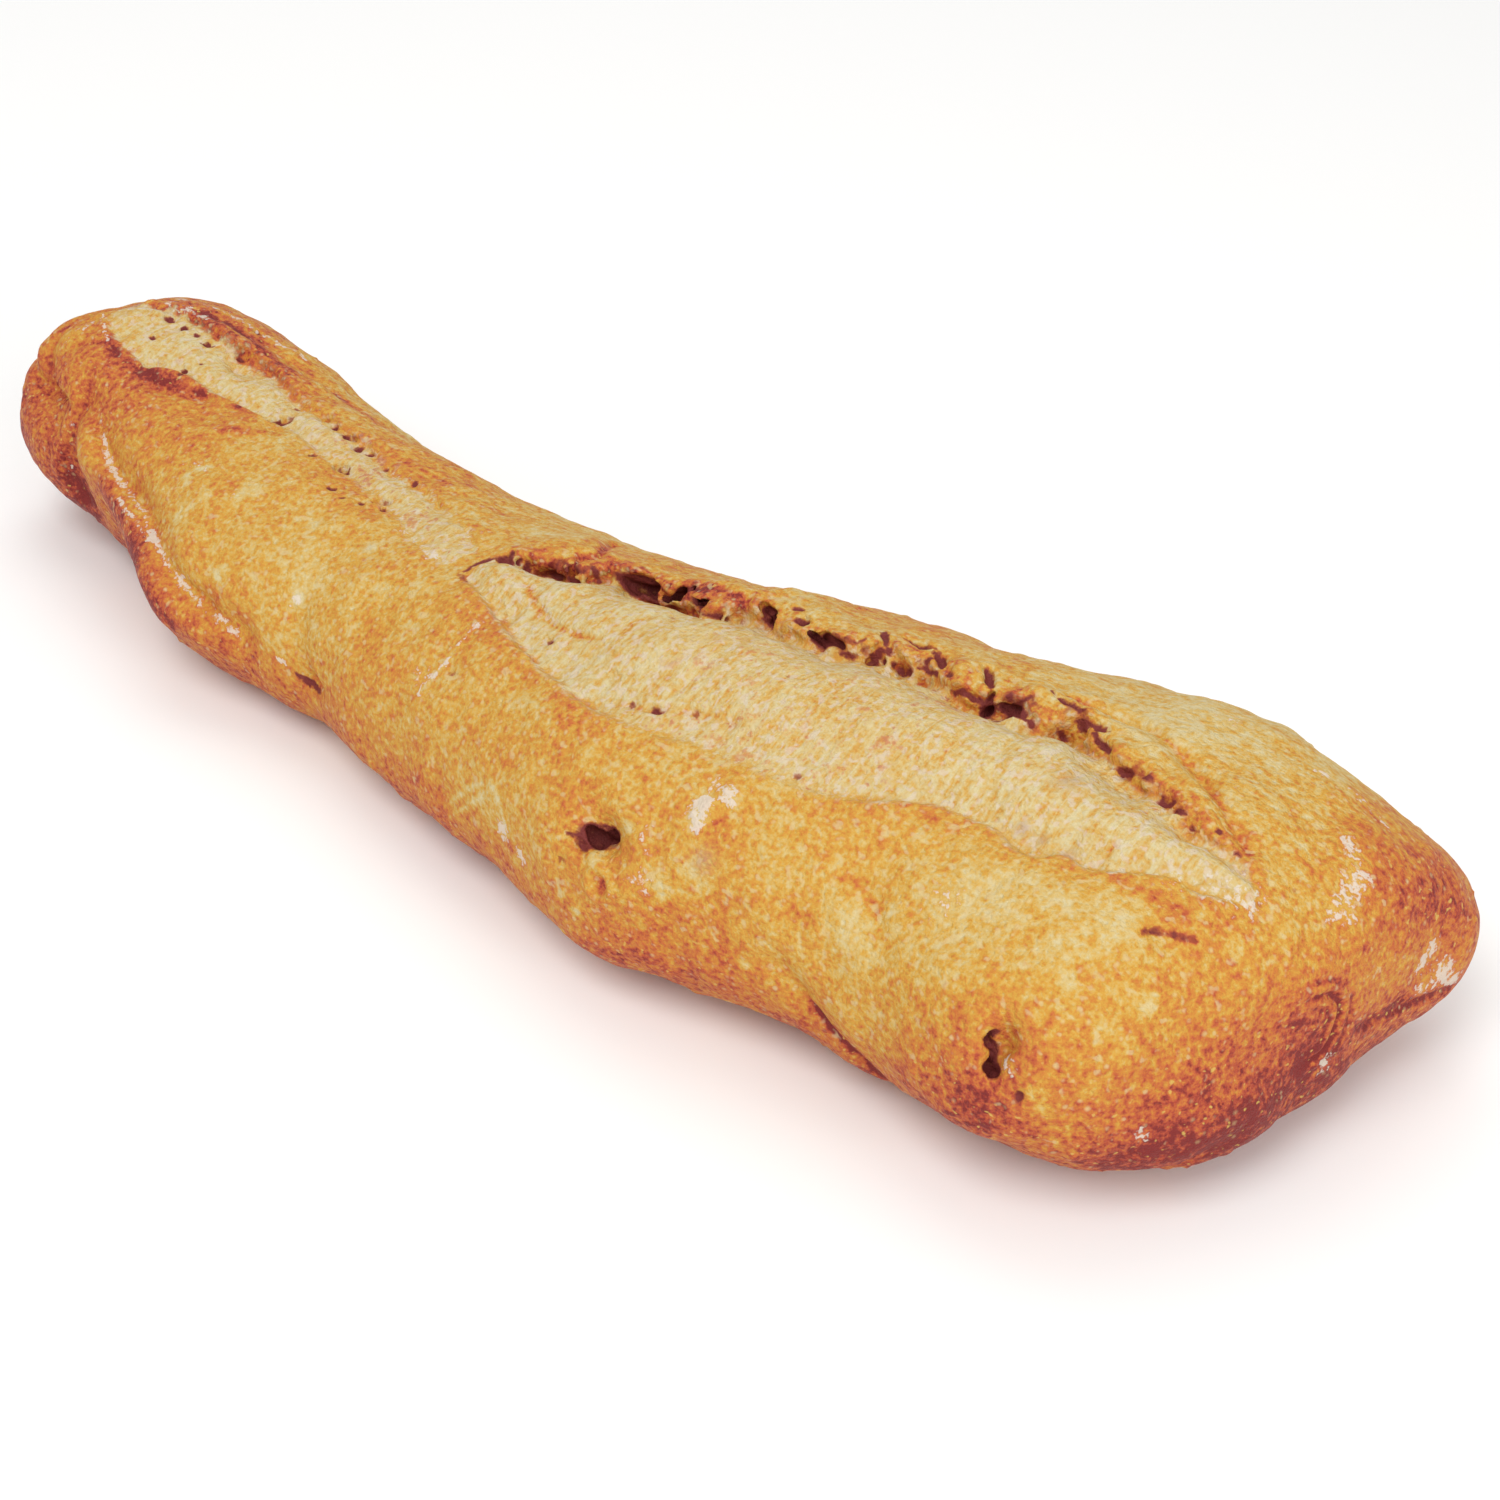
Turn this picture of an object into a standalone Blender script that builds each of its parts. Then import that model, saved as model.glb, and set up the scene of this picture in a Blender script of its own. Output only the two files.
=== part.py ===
"""A whole uncut ciabatta: a long rustic loaf with two slashes that burst open in the oven.

Metres, +Z up. The loaf lies along X with its broad end at +X, and stands on its flat base.
A place on the crust is given as (x, turn): turn is the angle in degrees round a straight
axis inside the loaf, 0 straight up, 90 towards -Y and -90 towards +Y.
"""
import math

import bmesh
import bpy
import numpy as np
from mathutils import Vector, noise
from mathutils.bvhtree import BVHTree

# --- the loaf's form ---------------------------------------------------------------------
LOW_END_X = -0.164             # tip of the narrow end
HIGH_END_X = 0.1655            # tip of the broad end
AXIS_Y = 0.0035
AXIS_Z = 0.020
# x, edge at -Y, edge at +Y, height of the crest
SECTIONS = (
    (-0.153, -0.0315, 0.0595, 0.0620),
    (-0.128, -0.0255, 0.0515, 0.0520),
    (-0.103, -0.0300, 0.0440, 0.0460),
    (-0.078, -0.0360, 0.0375, 0.0430),
    (-0.048, -0.0340, 0.0335, 0.0420),
    (-0.018, -0.0390, 0.0325, 0.0440),
    (0.017, -0.0460, 0.0345, 0.0470),
    (0.050, -0.0520, 0.0415, 0.0520),
    (0.082, -0.0470, 0.0445, 0.0555),
    (0.112, -0.0495, 0.0540, 0.0600),
    (0.142, -0.0545, 0.0575, 0.0665),
    (0.162, -0.0425, 0.0655, 0.0720),
)
LOW_END_SQUARENESS = 3.1       # 2 closes an end as an ellipse, more makes it blunter
HIGH_END_SQUARENESS = 4.0
LOW_CREST_SQUARENESS = 2.9     # the same for the height of the ends
HIGH_CREST_SQUARENESS = 2.35
LOW_END_SLANT = 0.39           # how far the end leans along X for each metre of Y
HIGH_END_SLANT = 0.13
SECTION_SQUARENESS = 2.25
BELLY_HEIGHT = 0.40            # height of the widest line, as a share of the crest's
MEAN_HALF_WIDTH = 0.045
UNDERSIDE_CLOSING = 0.72       # above 0.5 the underside curves up more towards the tips
SINK = 1.15                    # the round underside reaches below the floor, and is cut flat
BASE_TRIM = 0.0003             # thickness cut off to leave one plane face

# --- mesh --------------------------------------------------------------------------------
RINGS = 330
RING_POINTS = 176
TRIANGLES = 11200

# --- the two slashes, each from its lip on the -Y side to its torn ridge -------------------
NEAR_LIP = ((-0.019, 34), (0.009, 49), (0.033, 52), (0.068, 50), (0.089, 44), (0.114, 40),
            (0.135, 35), (0.145, 29), (0.152, 19))
NEAR_RIDGE = ((-0.019, 33), (-0.015, 19), (-0.003, 13), (0.008, 1), (0.030, 1), (0.043, -2),
              (0.062, 3), (0.074, -3), (0.091, -2), (0.106, -9), (0.121, 3), (0.135, 10),
              (0.152, 18))
FAR_LIP = ((-0.151, -8), (-0.136, 3), (-0.112, 6), (-0.090, 6), (-0.066, 17), (-0.049, 23),
           (-0.022, 37))
FAR_RIDGE = ((-0.154, -14), (-0.139, -22), (-0.117, -26), (-0.096, -22), (-0.070, -14),
             (-0.052, -6), (-0.034, 12), (-0.020, 32))
NEAR_BURST = dict(lip=NEAR_LIP, ridge=NEAR_RIDGE, drop=0.0020, swell=0.0026, trench=0.0024,
                  flap=0.0014, ragged=0.0060)
FAR_BURST = dict(lip=FAR_LIP, ridge=FAR_RIDGE, drop=0.0015, swell=0.0010, trench=0.0012,
                 flap=0.0010, ragged=0.0070)
BURST_FADE = 0.010             # a burst opens up over this length at each tip
BURST_FULL_WIDTH = 0.009
LIP_WIDTH = 0.0028
RIM_WIDTH = 0.005              # the crust stands proud by the lip, over this width
RIM_HEIGHT = 0.0008
RIDGE_WIDTH = 0.0024
TRENCH_WIDTH = 0.0035
FLAP_WIDTH = 0.010

# --- torn pits, holes and slits: x, turn, length, width, depth, turned from X in degrees --
PITS = (
    (-0.006, 15, 0.0075, 0.0026, 0.0045, 4),
    (0.019, 2, 0.0165, 0.0042, 0.0065, 2),
    (0.038, -4, 0.0060, 0.0030, 0.0040, 0),
    (0.045, -2, 0.0045, 0.0035, 0.0045, 20),
    (0.059, 2, 0.0065, 0.0030, 0.0045, 0),
    (0.067, -4, 0.0040, 0.0058, 0.0050, 0),
    (0.075, -7, 0.0080, 0.0055, 0.0060, -8),
    (0.086, -2, 0.0070, 0.0036, 0.0050, 10),
    (0.091, -5, 0.0036, 0.0062, 0.0050, 0),
    (0.105, -10, 0.0120, 0.0024, 0.0045, 0),
    (0.122, 3, 0.0070, 0.0030, 0.0040, -10),
    (0.136, 10, 0.0055, 0.0026, 0.0035, -20),
    (-0.137, -23, 0.0060, 0.0024, 0.0030, 8),
    (-0.117, -26, 0.0055, 0.0022, 0.0028, 0),
    (-0.095, -20, 0.0045, 0.0024, 0.0030, 0),
    (-0.090, -2, 0.0050, 0.0026, 0.0030, -25),
    (-0.071, -15, 0.0050, 0.0022, 0.0028, 0),
    (-0.066, 9, 0.0045, 0.0022, 0.0026, -20),
    (-0.050, 18, 0.0050, 0.0024, 0.0028, -30),
    (0.050, 74, 0.0085, 0.0050, 0.0075, 10),
    (0.132, 75, 0.0040, 0.0085, 0.0060, 0),
    (0.144, 43, 0.0080, 0.0022, 0.0028, -5),
    (-0.040, 92, 0.0080, 0.0026, 0.0030, 0),
)
# --- creases (depth above 0) and rolls (depth below 0): path, half width, depth ------------
CREASES = (
    (((-0.130, 44), (-0.119, 60), (-0.104, 66), (-0.090, 74), (-0.076, 82), (-0.060, 87)),
     0.0024, 0.0024),
    (((-0.134, 56), (-0.122, 70), (-0.106, 78), (-0.090, 86), (-0.074, 94)),
     0.0050, -0.0022),
    (((-0.137, 38), (-0.137, 60), (-0.137, 88), (-0.132, 104)), 0.0040, 0.0030),
    (((-0.162, 34), (-0.155, 44), (-0.147, 54)), 0.0050, 0.0045),
    (((0.087, 84), (0.096, 93), (0.105, 101), (0.114, 106)), 0.0030, 0.0026),
    (((0.108, 94), (0.120, 98), (0.133, 99)), 0.0045, 0.0016),
    (((0.095, 56), (0.099, 62), (0.103, 68)), 0.0045, 0.0012),
    (((0.106, -22), (0.118, -17), (0.128, -11), (0.135, -5)), 0.0022, 0.0014),
    (((-0.048, 74), (-0.044, 86), (-0.041, 94)), 0.0050, 0.0012),
    (((-0.131, 8), (-0.118, 12), (-0.104, 12)), 0.0040, 0.0016),
)
# --- presses of a hand: x, turn, reach, height (below 0 pushes in) ------------------------
SWELLS = (
    (-0.150, -20, 0.020, 0.0010),
    (0.128, -52, 0.013, 0.0026),
    (0.163, -96, 0.012, 0.0028),
    (0.153, 104, 0.013, 0.0034),
    (0.100, 104, 0.010, 0.0022),
    (0.161, 55, 0.018, -0.0025),
    (0.003, 97, 0.011, 0.0014),
    (-0.123, 95, 0.014, -0.0025),
    (-0.084, 98, 0.016, 0.0018),
    (0.038, 98, 0.014, -0.0012),
    (0.145, 100, 0.016, 0.0020),
)
# --- uneven crust: size of the lumps, their height ---------------------------------------
LUMPS = ((0.030, 0.0012), (0.011, 0.0007), (0.0045, 0.0003))
RAG_SIZE = 0.0042
CALM_HEIGHT = 0.007            # relief dies away below this height, down to the base

CRUST_COLOUR = (0.60, 0.30, 0.085, 1.0)
CRUST_ROUGHNESS = 0.62


def clear_scene():
    for old in list(bpy.data.objects):
        bpy.data.objects.remove(old)


def smooth_step(value):
    share = np.clip(value, 0.0, 1.0)
    return share * share * (3.0 - 2.0 * share)


def spline(knots, heights, at):
    """A natural cubic spline through the knots, read at every value of at."""
    knots = np.asarray(knots, float)
    heights = np.asarray(heights, float)
    gap = np.diff(knots)
    slope = np.diff(heights) / gap
    count = len(knots)
    system = np.eye(count)
    right = np.zeros(count)
    for i in range(1, count - 1):
        system[i, i - 1:i + 2] = gap[i - 1], 2.0 * (gap[i - 1] + gap[i]), gap[i]
        right[i] = 6.0 * (slope[i] - slope[i - 1])
    bend = np.linalg.solve(system, right)
    place = np.clip(np.searchsorted(knots, at) - 1, 0, count - 2)
    step = gap[place]
    past = at - knots[place]
    left = knots[place + 1] - at
    curved = (bend[place] * left ** 3 + bend[place + 1] * past ** 3) / (6.0 * step)
    line_left = (heights[place] / step - bend[place] * step / 6.0) * left
    line_right = (heights[place + 1] / step - bend[place + 1] * step / 6.0) * past
    return curved + line_left + line_right


# --- the plain loaf ----------------------------------------------------------------------
def end_closing(share, power):
    """Size left at each place along the loaf, from 0 at the tips to 1 in the middle."""
    return (1.0 - np.abs(share) ** power) ** (1.0 / power)


def width_closing(share):
    return end_closing(share, np.where(share < 0.0, LOW_END_SQUARENESS, HIGH_END_SQUARENESS))


def crest_closing(share):
    return end_closing(share, np.where(share < 0.0, LOW_CREST_SQUARENESS, HIGH_CREST_SQUARENESS))


def ring_shares():
    """Places of the rings from -1 to 1, evenly spaced along the loaf's outline."""
    fine = -np.cos(np.linspace(0.0, math.pi, 4001))
    half_length = (HIGH_END_X - LOW_END_X) / 2.0
    half_width = MEAN_HALF_WIDTH * width_closing(fine)
    steps = np.hypot(np.diff(fine) * half_length, np.diff(half_width))
    run = np.concatenate(([0.0], np.cumsum(steps)))
    even = np.linspace(0.0, run[-1], RINGS + 2)[1:-1]
    return np.interp(even, run, fine)


def plain_loaf():
    """Points of the loaf without its relief, as an array of rings by points by 3."""
    middle = (LOW_END_X + HIGH_END_X) / 2.0
    half = (HIGH_END_X - LOW_END_X) / 2.0
    share = ring_shares()
    x = middle + half * share
    stations, near, far, crest = np.array(SECTIONS).T
    near_edge = spline(stations, near, x)
    far_edge = spline(stations, far, x)
    height = spline(stations, crest, x)
    closing = width_closing(share)
    half_width = (far_edge - near_edge) / 2.0 * closing
    centre = (far_edge + near_edge) / 2.0
    angle = np.linspace(0.0, 2.0 * math.pi, RING_POINTS, endpoint=False)
    power = 2.0 / SECTION_SQUARENESS
    across = np.sign(np.cos(angle)) * np.abs(np.cos(angle)) ** power
    upward = np.sign(np.sin(angle)) * np.abs(np.sin(angle)) ** power
    belly = BELLY_HEIGHT * height
    rise = (height - belly) * crest_closing(share)
    fall = belly * closing ** UNDERSIDE_CLOSING * SINK
    reach = np.where(upward >= 0.0, rise[:, None], fall[:, None])
    z = np.maximum(belly[:, None] + reach * upward, 0.0)
    sideways = half_width[:, None] * across
    slant = np.where(share < 0.0, LOW_END_SLANT, HIGH_END_SLANT)
    lean = slant * np.clip((np.abs(share) - 0.5) / 0.5, 0.0, 1.0) ** 2
    along = x[:, None] + lean[:, None] * sideways
    return np.stack((along, centre[:, None] + sideways, z), axis=-1)


def build_mesh(rings):
    """A closed mesh over the rings, each end drawn together in one point."""
    mesh = bmesh.new()
    rows = [[mesh.verts.new(point) for point in ring] for ring in rings]
    for lower, upper in zip(rows, rows[1:]):
        for i in range(RING_POINTS):
            k = (i + 1) % RING_POINTS
            mesh.faces.new((lower[i], lower[k], upper[k], upper[i]))
    for row, order in ((rows[0], -1), (rows[-1], 1)):
        tip = mesh.verts.new(sum((corner.co for corner in row), Vector()) / RING_POINTS)
        for i in range(RING_POINTS):
            pair = (row[i], row[(i + 1) % RING_POINTS])[::order]
            mesh.faces.new((tip, pair[0], pair[1]))
    bmesh.ops.recalc_face_normals(mesh, faces=mesh.faces)
    return mesh


# --- places on the crust -----------------------------------------------------------------
def turn_of(points):
    return np.degrees(np.arctan2(AXIS_Y - points[:, 1], points[:, 2] - AXIS_Z))


def radius_of(points):
    return np.hypot(points[:, 1] - AXIS_Y, points[:, 2] - AXIS_Z)


def spot(tree, x, turn):
    """The point of the plain crust at x and turn."""
    out = Vector((0.0, -math.sin(math.radians(turn)), math.cos(math.radians(turn))))
    centre = Vector((np.clip(x, LOW_END_X + 0.008, HIGH_END_X - 0.004), AXIS_Y, AXIS_Z))
    return np.array(tree.ray_cast(centre, out)[0])


def line_distance(points, path):
    """Distance of every point from a path of straight pieces."""
    nearest = np.full(len(points), np.inf)
    for start, end in zip(path, path[1:]):
        run = end - start
        share = np.clip((points - start) @ run / (run @ run), 0.0, 1.0)
        away = np.linalg.norm(points - start - share[:, None] * run, axis=1)
        nearest = np.minimum(nearest, away)
    return nearest


def smooth_path(places, count=24):
    """The places with a smooth curve between them, as (x, turn) rows."""
    table = np.array(places, float)
    run = np.arange(len(table))
    at = np.linspace(0.0, run[-1], count)
    return np.stack((spline(run, table[:, 0], at), spline(run, table[:, 1], at)), axis=1)


def lumpy(points, size, seed):
    """Smooth noise from about -1 to 1, with lumps of the given size."""
    away = Vector((seed * 7.3, seed * 3.1, seed * 5.7))
    return np.array([noise.noise(Vector(point) / size + away) for point in points])


# --- relief ------------------------------------------------------------------------------
def burst_relief(points, burst, rag):
    """A slash that opened: lip, bulging bloom, torn trench and raised flap."""
    lip_x, lip_turn = np.array(burst["lip"]).T
    ridge_x, ridge_turn = np.array(burst["ridge"]).T
    x = points[:, 0]
    turn = turn_of(points)
    radius = radius_of(points)
    lip = np.interp(x, lip_x, lip_turn)
    ridge = np.interp(x, ridge_x, ridge_turn)
    past_lip = np.radians(lip - turn) * radius
    past_ridge = np.radians(turn - ridge) * radius + burst["ragged"] * 0.35 * rag
    width = np.radians(lip - ridge) * radius
    start = min(lip_x[0], ridge_x[0])
    end = max(lip_x[-1], ridge_x[-1])
    fade = smooth_step((x - start) / BURST_FADE) * smooth_step((end - x) / BURST_FADE)
    fade *= smooth_step(width / BURST_FULL_WIDTH) * (np.abs(turn) < 88.0)
    share = np.clip(past_ridge / np.maximum(width, RIDGE_WIDTH), 0.0, 1.0)
    inside = smooth_step(past_lip / LIP_WIDTH) * smooth_step(past_ridge / RIDGE_WIDTH + 0.5)
    bloom = inside * (burst["swell"] * np.sin(math.pi * share) - burst["drop"])
    depth = burst["trench"] * np.exp(-(past_ridge / TRENCH_WIDTH) ** 2) * (0.8 + 0.7 * rag)
    trench = inside * depth
    beyond = smooth_step(0.5 - past_ridge / RIDGE_WIDTH)
    beyond *= np.exp(np.minimum(past_ridge, 0.0) / FLAP_WIDTH)
    flap = burst["flap"] * beyond * (1.0 + 0.5 * rag)
    rim = smooth_step(-past_lip / LIP_WIDTH) * np.exp(np.minimum(past_lip, 0.0) / RIM_WIDTH)
    return fade * (bloom - trench + flap + RIM_HEIGHT * rim)


def pit_relief(points, tree, pit):
    x, turn, length, width, depth, slant = pit
    centre = spot(tree, x, turn)
    away = points - centre
    along = away[:, 0]
    round_the_loaf = np.hypot(away[:, 1], away[:, 2]) * np.sign(turn_of(points) - turn)
    tilt = math.radians(slant)
    first = (along * math.cos(tilt) + round_the_loaf * math.sin(tilt)) / (length / 2.0)
    second = (round_the_loaf * math.cos(tilt) - along * math.sin(tilt)) / (width / 2.0)
    return -depth * np.exp(-(0.75 * (first ** 2 + second ** 2)) ** 2)


def crease_relief(points, tree, crease):
    path, half_width, depth = crease
    places = smooth_path(path)
    line = [spot(tree, x, turn) for x, turn in places]
    return -depth * np.exp(-(line_distance(points, line) / half_width) ** 2)


def swell_relief(points, tree, swell):
    x, turn, reach, height = swell
    away = np.linalg.norm(points - spot(tree, x, turn), axis=1)
    return height * np.exp(-(away / reach) ** 2)


def crust_relief(points, tree):
    """How far every point moves out along its normal."""
    rag = lumpy(points, RAG_SIZE, 4) * 1.6
    relief = burst_relief(points, NEAR_BURST, rag) + burst_relief(points, FAR_BURST, rag)
    for number, (size, height) in enumerate(LUMPS):
        relief += height * lumpy(points, size, number)
    for pit in PITS:
        relief += pit_relief(points, tree, pit)
    for crease in CREASES:
        relief += crease_relief(points, tree, crease)
    for swell in SWELLS:
        relief += swell_relief(points, tree, swell)
    return relief * smooth_step(points[:, 2] / CALM_HEIGHT)


def carve(mesh):
    """Moves the mesh's points by the crust's relief."""
    tree = BVHTree.FromBMesh(mesh)
    mesh.normal_update()
    points = np.array([vert.co for vert in mesh.verts])
    normals = np.array([vert.normal for vert in mesh.verts])
    relief = crust_relief(points, tree)
    for vert, place in zip(mesh.verts, points + normals * relief[:, None]):
        vert.co = place


# --- finishing ---------------------------------------------------------------------------
def thin_out(mesh):
    """Fewer triangles where the crust is plain, and as many as before in the torn places."""
    data = bpy.data.meshes.new("crust")
    bmesh.ops.triangulate(mesh, faces=mesh.faces)
    mesh.to_mesh(data)
    mesh.free()
    loaf = bpy.data.objects.new("loaf", data)
    bpy.context.scene.collection.objects.link(loaf)
    fewer = loaf.modifiers.new("fewer", "DECIMATE")
    fewer.ratio = TRIANGLES / len(data.polygons)
    bpy.context.view_layer.objects.active = loaf
    bpy.ops.object.modifier_apply(modifier=fewer.name)
    return loaf


def cut_base(loaf):
    """Cuts the underside to one plane face, and puts the origin under the loaf's middle."""
    mesh = bmesh.new()
    mesh.from_mesh(loaf.data)
    geometry = mesh.verts[:] + mesh.edges[:] + mesh.faces[:]
    cut = bmesh.ops.bisect_plane(mesh, geom=geometry, plane_co=(0.0, 0.0, BASE_TRIM),
                                 plane_no=(0.0, 0.0, -1.0), clear_outer=True)
    rim = [part for part in cut["geom_cut"] if isinstance(part, bmesh.types.BMEdge)]
    base = bmesh.ops.contextual_create(mesh, geom=rim)["faces"]
    bmesh.ops.recalc_face_normals(mesh, faces=mesh.faces)
    bmesh.ops.triangulate(mesh, faces=base)
    corners = np.array([vert.co for vert in mesh.verts])
    low = corners.min(axis=0)
    high = corners.max(axis=0)
    shift = Vector((-(low[0] + high[0]) / 2.0, -(low[1] + high[1]) / 2.0, -low[2]))
    bmesh.ops.translate(mesh, verts=mesh.verts, vec=shift)
    mesh.to_mesh(loaf.data)
    mesh.free()


def crust_material():
    crust = bpy.data.materials.new("baked_crust")
    crust.use_nodes = True
    shader = crust.node_tree.nodes["Principled BSDF"]
    shader.inputs["Base Color"].default_value = CRUST_COLOUR
    shader.inputs["Roughness"].default_value = CRUST_ROUGHNESS
    shader.inputs["Metallic"].default_value = 0.0
    crust.diffuse_color = CRUST_COLOUR
    return crust


def main():
    clear_scene()
    dough = build_mesh(plain_loaf())
    carve(dough)
    loaf = thin_out(dough)
    cut_base(loaf)
    loaf.data.materials.append(crust_material())
    loaf.data.shade_smooth()
    loaf.data.set_sharp_from_angle(angle=math.radians(50))


main()
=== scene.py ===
"""The looks of a whole ciabatta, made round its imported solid.

Metres, +Z up. The loaf lies along X with its broad end at +X. A place on the crust is given
as (x, turn): x in millimetres, and turn, the angle in degrees round a straight axis inside
the loaf, 0 straight up, 90 towards -Y and -90 towards +Y. Close to the ends, where the turn
says little, a place is given as (x, y, z) in millimetres instead.
"""

import math
from itertools import product

import bpy
import numpy as np
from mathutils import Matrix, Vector
from mathutils.bvhtree import BVHTree
from mathutils.kdtree import KDTree


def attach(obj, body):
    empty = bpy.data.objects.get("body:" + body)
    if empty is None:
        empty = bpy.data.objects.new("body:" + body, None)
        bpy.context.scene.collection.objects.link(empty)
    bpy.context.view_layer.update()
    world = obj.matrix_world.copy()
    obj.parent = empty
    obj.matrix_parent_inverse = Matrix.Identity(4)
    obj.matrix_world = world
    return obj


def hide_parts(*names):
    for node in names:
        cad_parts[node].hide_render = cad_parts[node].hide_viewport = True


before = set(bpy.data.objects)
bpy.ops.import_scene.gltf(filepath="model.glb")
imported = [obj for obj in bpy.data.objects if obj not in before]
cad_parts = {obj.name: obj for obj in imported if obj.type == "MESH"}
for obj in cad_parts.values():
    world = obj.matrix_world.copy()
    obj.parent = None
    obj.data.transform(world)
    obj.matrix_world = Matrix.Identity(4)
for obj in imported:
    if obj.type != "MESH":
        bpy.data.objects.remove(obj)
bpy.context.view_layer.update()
bpy.ops.object.select_all(action="DESELECT")

MM = 0.001

# --- view --------------------------------------------------------------------------------
CAMERA_AZIMUTH = 41.0
CAMERA_HEIGHT_ANGLE = 35.0
CAMERA_DISTANCE = 0.48
CAMERA_TARGET = (0.0434, -0.0019, 0.0247)
CAMERA_LENS = 63.43
CAMERA_SENSOR = 36.0

# --- floor, sky and lights -----------------------------------------------------------------
FLOOR_SIZE = 8.0
FLOOR_HEIGHT = -0.0002         # a little below the loaf's base
FLOOR_COLOUR = (0.95, 0.95, 0.945, 1.0)
SKY_COLOUR = (1.0, 0.99, 0.975, 1.0)
SKY_STRENGTH = 0.56
# name, place, what it faces, width, watts
LIGHTS = (
    ("key_light", (0.15, -0.75, 1.25), (0.0, 0.0, 0.0), 0.9, 9.2),
    ("top_light", (-0.5, 0.5, 1.3), (0.0, 0.0, 0.0), 1.1, 4.3),
    ("side_light", (1.10, -0.35, 0.55), (0.08, 0.0, 0.0), 0.8, 5.0),
)

# --- mesh sizes and smoothing --------------------------------------------------------------
PLAIN_VOXEL = 0.0011
CUTTER_VOXEL = 0.0004
FINE_VOXEL = 0.00052
TRIANGLES = 194000             # what the fine mesh is thinned towards
FORM_SMOOTHING = 14            # rounds over all the loaf
TORN_SMOOTHING = 70            # rounds where the solid has coarse relief
FINE_SMOOTHING = 2

# --- the loaf's axis, its ends and its base -------------------------------------------------
AXIS_Y = 0.0035
AXIS_Z = 0.020
LOW_CAP = 0.009                # a ray from the axis starts no closer than this to a tip
HIGH_CAP = 0.006
CAP_LEAN = 0.012               # and leans towards the tip, more the smaller this is
CALM_HEIGHT = 0.005            # relief fades away towards the base, below this height
BLISTER_CALM_HEIGHT = 0.004
PRESS_HEIGHT = 0.0016          # the lowest crust is pressed down, so that the cut base is flat
PRESS_DEPTH = 0.0006
BASE_HEIGHT = 0.00001

# --- the two slashes that burst open, from the lip on the -Y side to the torn ridge -------
NEAR_LIP = ((-19, 36), (-11, 41), (-4, 45), (9, 51), (23, 54), (34, 55), (46, 54), (56, 52),
            (67, 51), (79, 50), (90, 46), (99, 40), (109, 39), (115, 40), (120, 40), (123, 36),
            (128, 37), (135, 31), (139, 28), (143, 27), (149, 22), (153, 18))
NEAR_RIDGE = ((-19, 33), (-16, 23), (-12, 16), (-5, 13), (1, 7), (6, 0), (13, 1), (22, -2),
              (31, 3), (38, -4), (45, -3), (54, 0), (61, 0), (67, -7), (76, -11), (84, -4),
              (92, -7), (100, -4), (105, -11), (114, -4), (122, 0), (129, 5), (135, 8),
              (142, 9), (148, 15), (153, 17))
FAR_LIP = ((-153, -8), (-145, -1), (-138, 4), (-131, 4), (-122, -1), (-112, -2), (-102, -3),
           (-96, -4), (-91, -6), (-83, -2), (-74, 5), (-66, 7), (-56, 13), (-49, 18), (-42, 26),
           (-34, 33), (-25, 36), (-20, 36))
FAR_RIDGE = ((-154, -15), (-150, -25), (-140, -30), (-126, -31), (-119, -33), (-109, -33),
             (-97, -30), (-87, -27), (-77, -23), (-70, -19), (-60, -14), (-52, -9), (-40, 3),
             (-31, 9), (-24, 17), (-20, 30))
# mm at x: how far the bloom drops below the crust at the lip, how deep the trench before the
# ridge is and how high the torn flap behind it, and how brown the torn edge is
NEAR_BURST = dict(
    lip=NEAR_LIP, ridge=NEAR_RIDGE, swell=2.9, ragged=2.2, lip_width=1.3,
    drop=((-19, 1.4), (-5, 1.8), (12, 1.5), (30, 1.2), (42, 0.7), (60, 0.3), (85, 0.5),
          (97, 1.1), (125, 1.3), (150, 0.8)),
    trench=((-19, 0.6), (0, 1.4), (8, 2.0), (25, 2.0), (35, 1.2), (60, 1.4), (80, 1.9),
            (96, 1.6), (104, 0.9), (125, 0.8), (150, 0.3)),
    flap=((-19, 0.6), (5, 1.5), (20, 1.9), (60, 1.6), (90, 1.9), (100, 1.3), (115, 0.9),
          (150, 0.3)),
    toast=((-19, 0.5), (5, 1.0), (28, 1.0), (45, 0.7), (62, 0.9), (95, 1.0), (103, 0.5),
           (125, 0.4), (150, 0.2)),
)
FAR_BURST = dict(
    lip=FAR_LIP, ridge=FAR_RIDGE, swell=1.3, ragged=2.2, lip_width=1.6,
    drop=((-153, 0.6), (-135, 1.0), (-122, 1.6), (-112, 1.4), (-90, 0.9), (-70, 0.4),
          (-50, 0.3), (-20, 0.4)),
    trench=((-153, 0.5), (-110, 0.6), (-70, 0.5), (-20, 0.3)),
    flap=((-153, 0.5), (-110, 0.7), (-70, 0.5), (-20, 0.3)),
    toast=((-153, 0.35), (-110, 0.35), (-80, 0.30), (-50, 0.15), (-20, 0.1)),
)
BURST_FADE = 7.0               # a burst opens up over this length at each tip
BURST_FULL_WIDTH = 6.0         # and is fully open where it is this wide
BURST_TURN = 88.0              # it never reaches further round the loaf than this
RIDGE_WIDTH = 1.5
TRENCH_WIDTH = 2.8
FLAP_WIDTH = 9.0
RIM_WIDTH = 4.0
RIM_HEIGHT = 0.6
BLOOM_STREAK = 0.34            # height of the stretch marks on the bloom and on the flap
FLAP_STREAK = 0.34
FLAP_LUMPS = 0.22
TORN_WIDTH = 2.6
TORN_HEIGHT = 0.7
CRACK_WIDTH = 0.62
CRACK_DEPTH = 1.5
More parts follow.
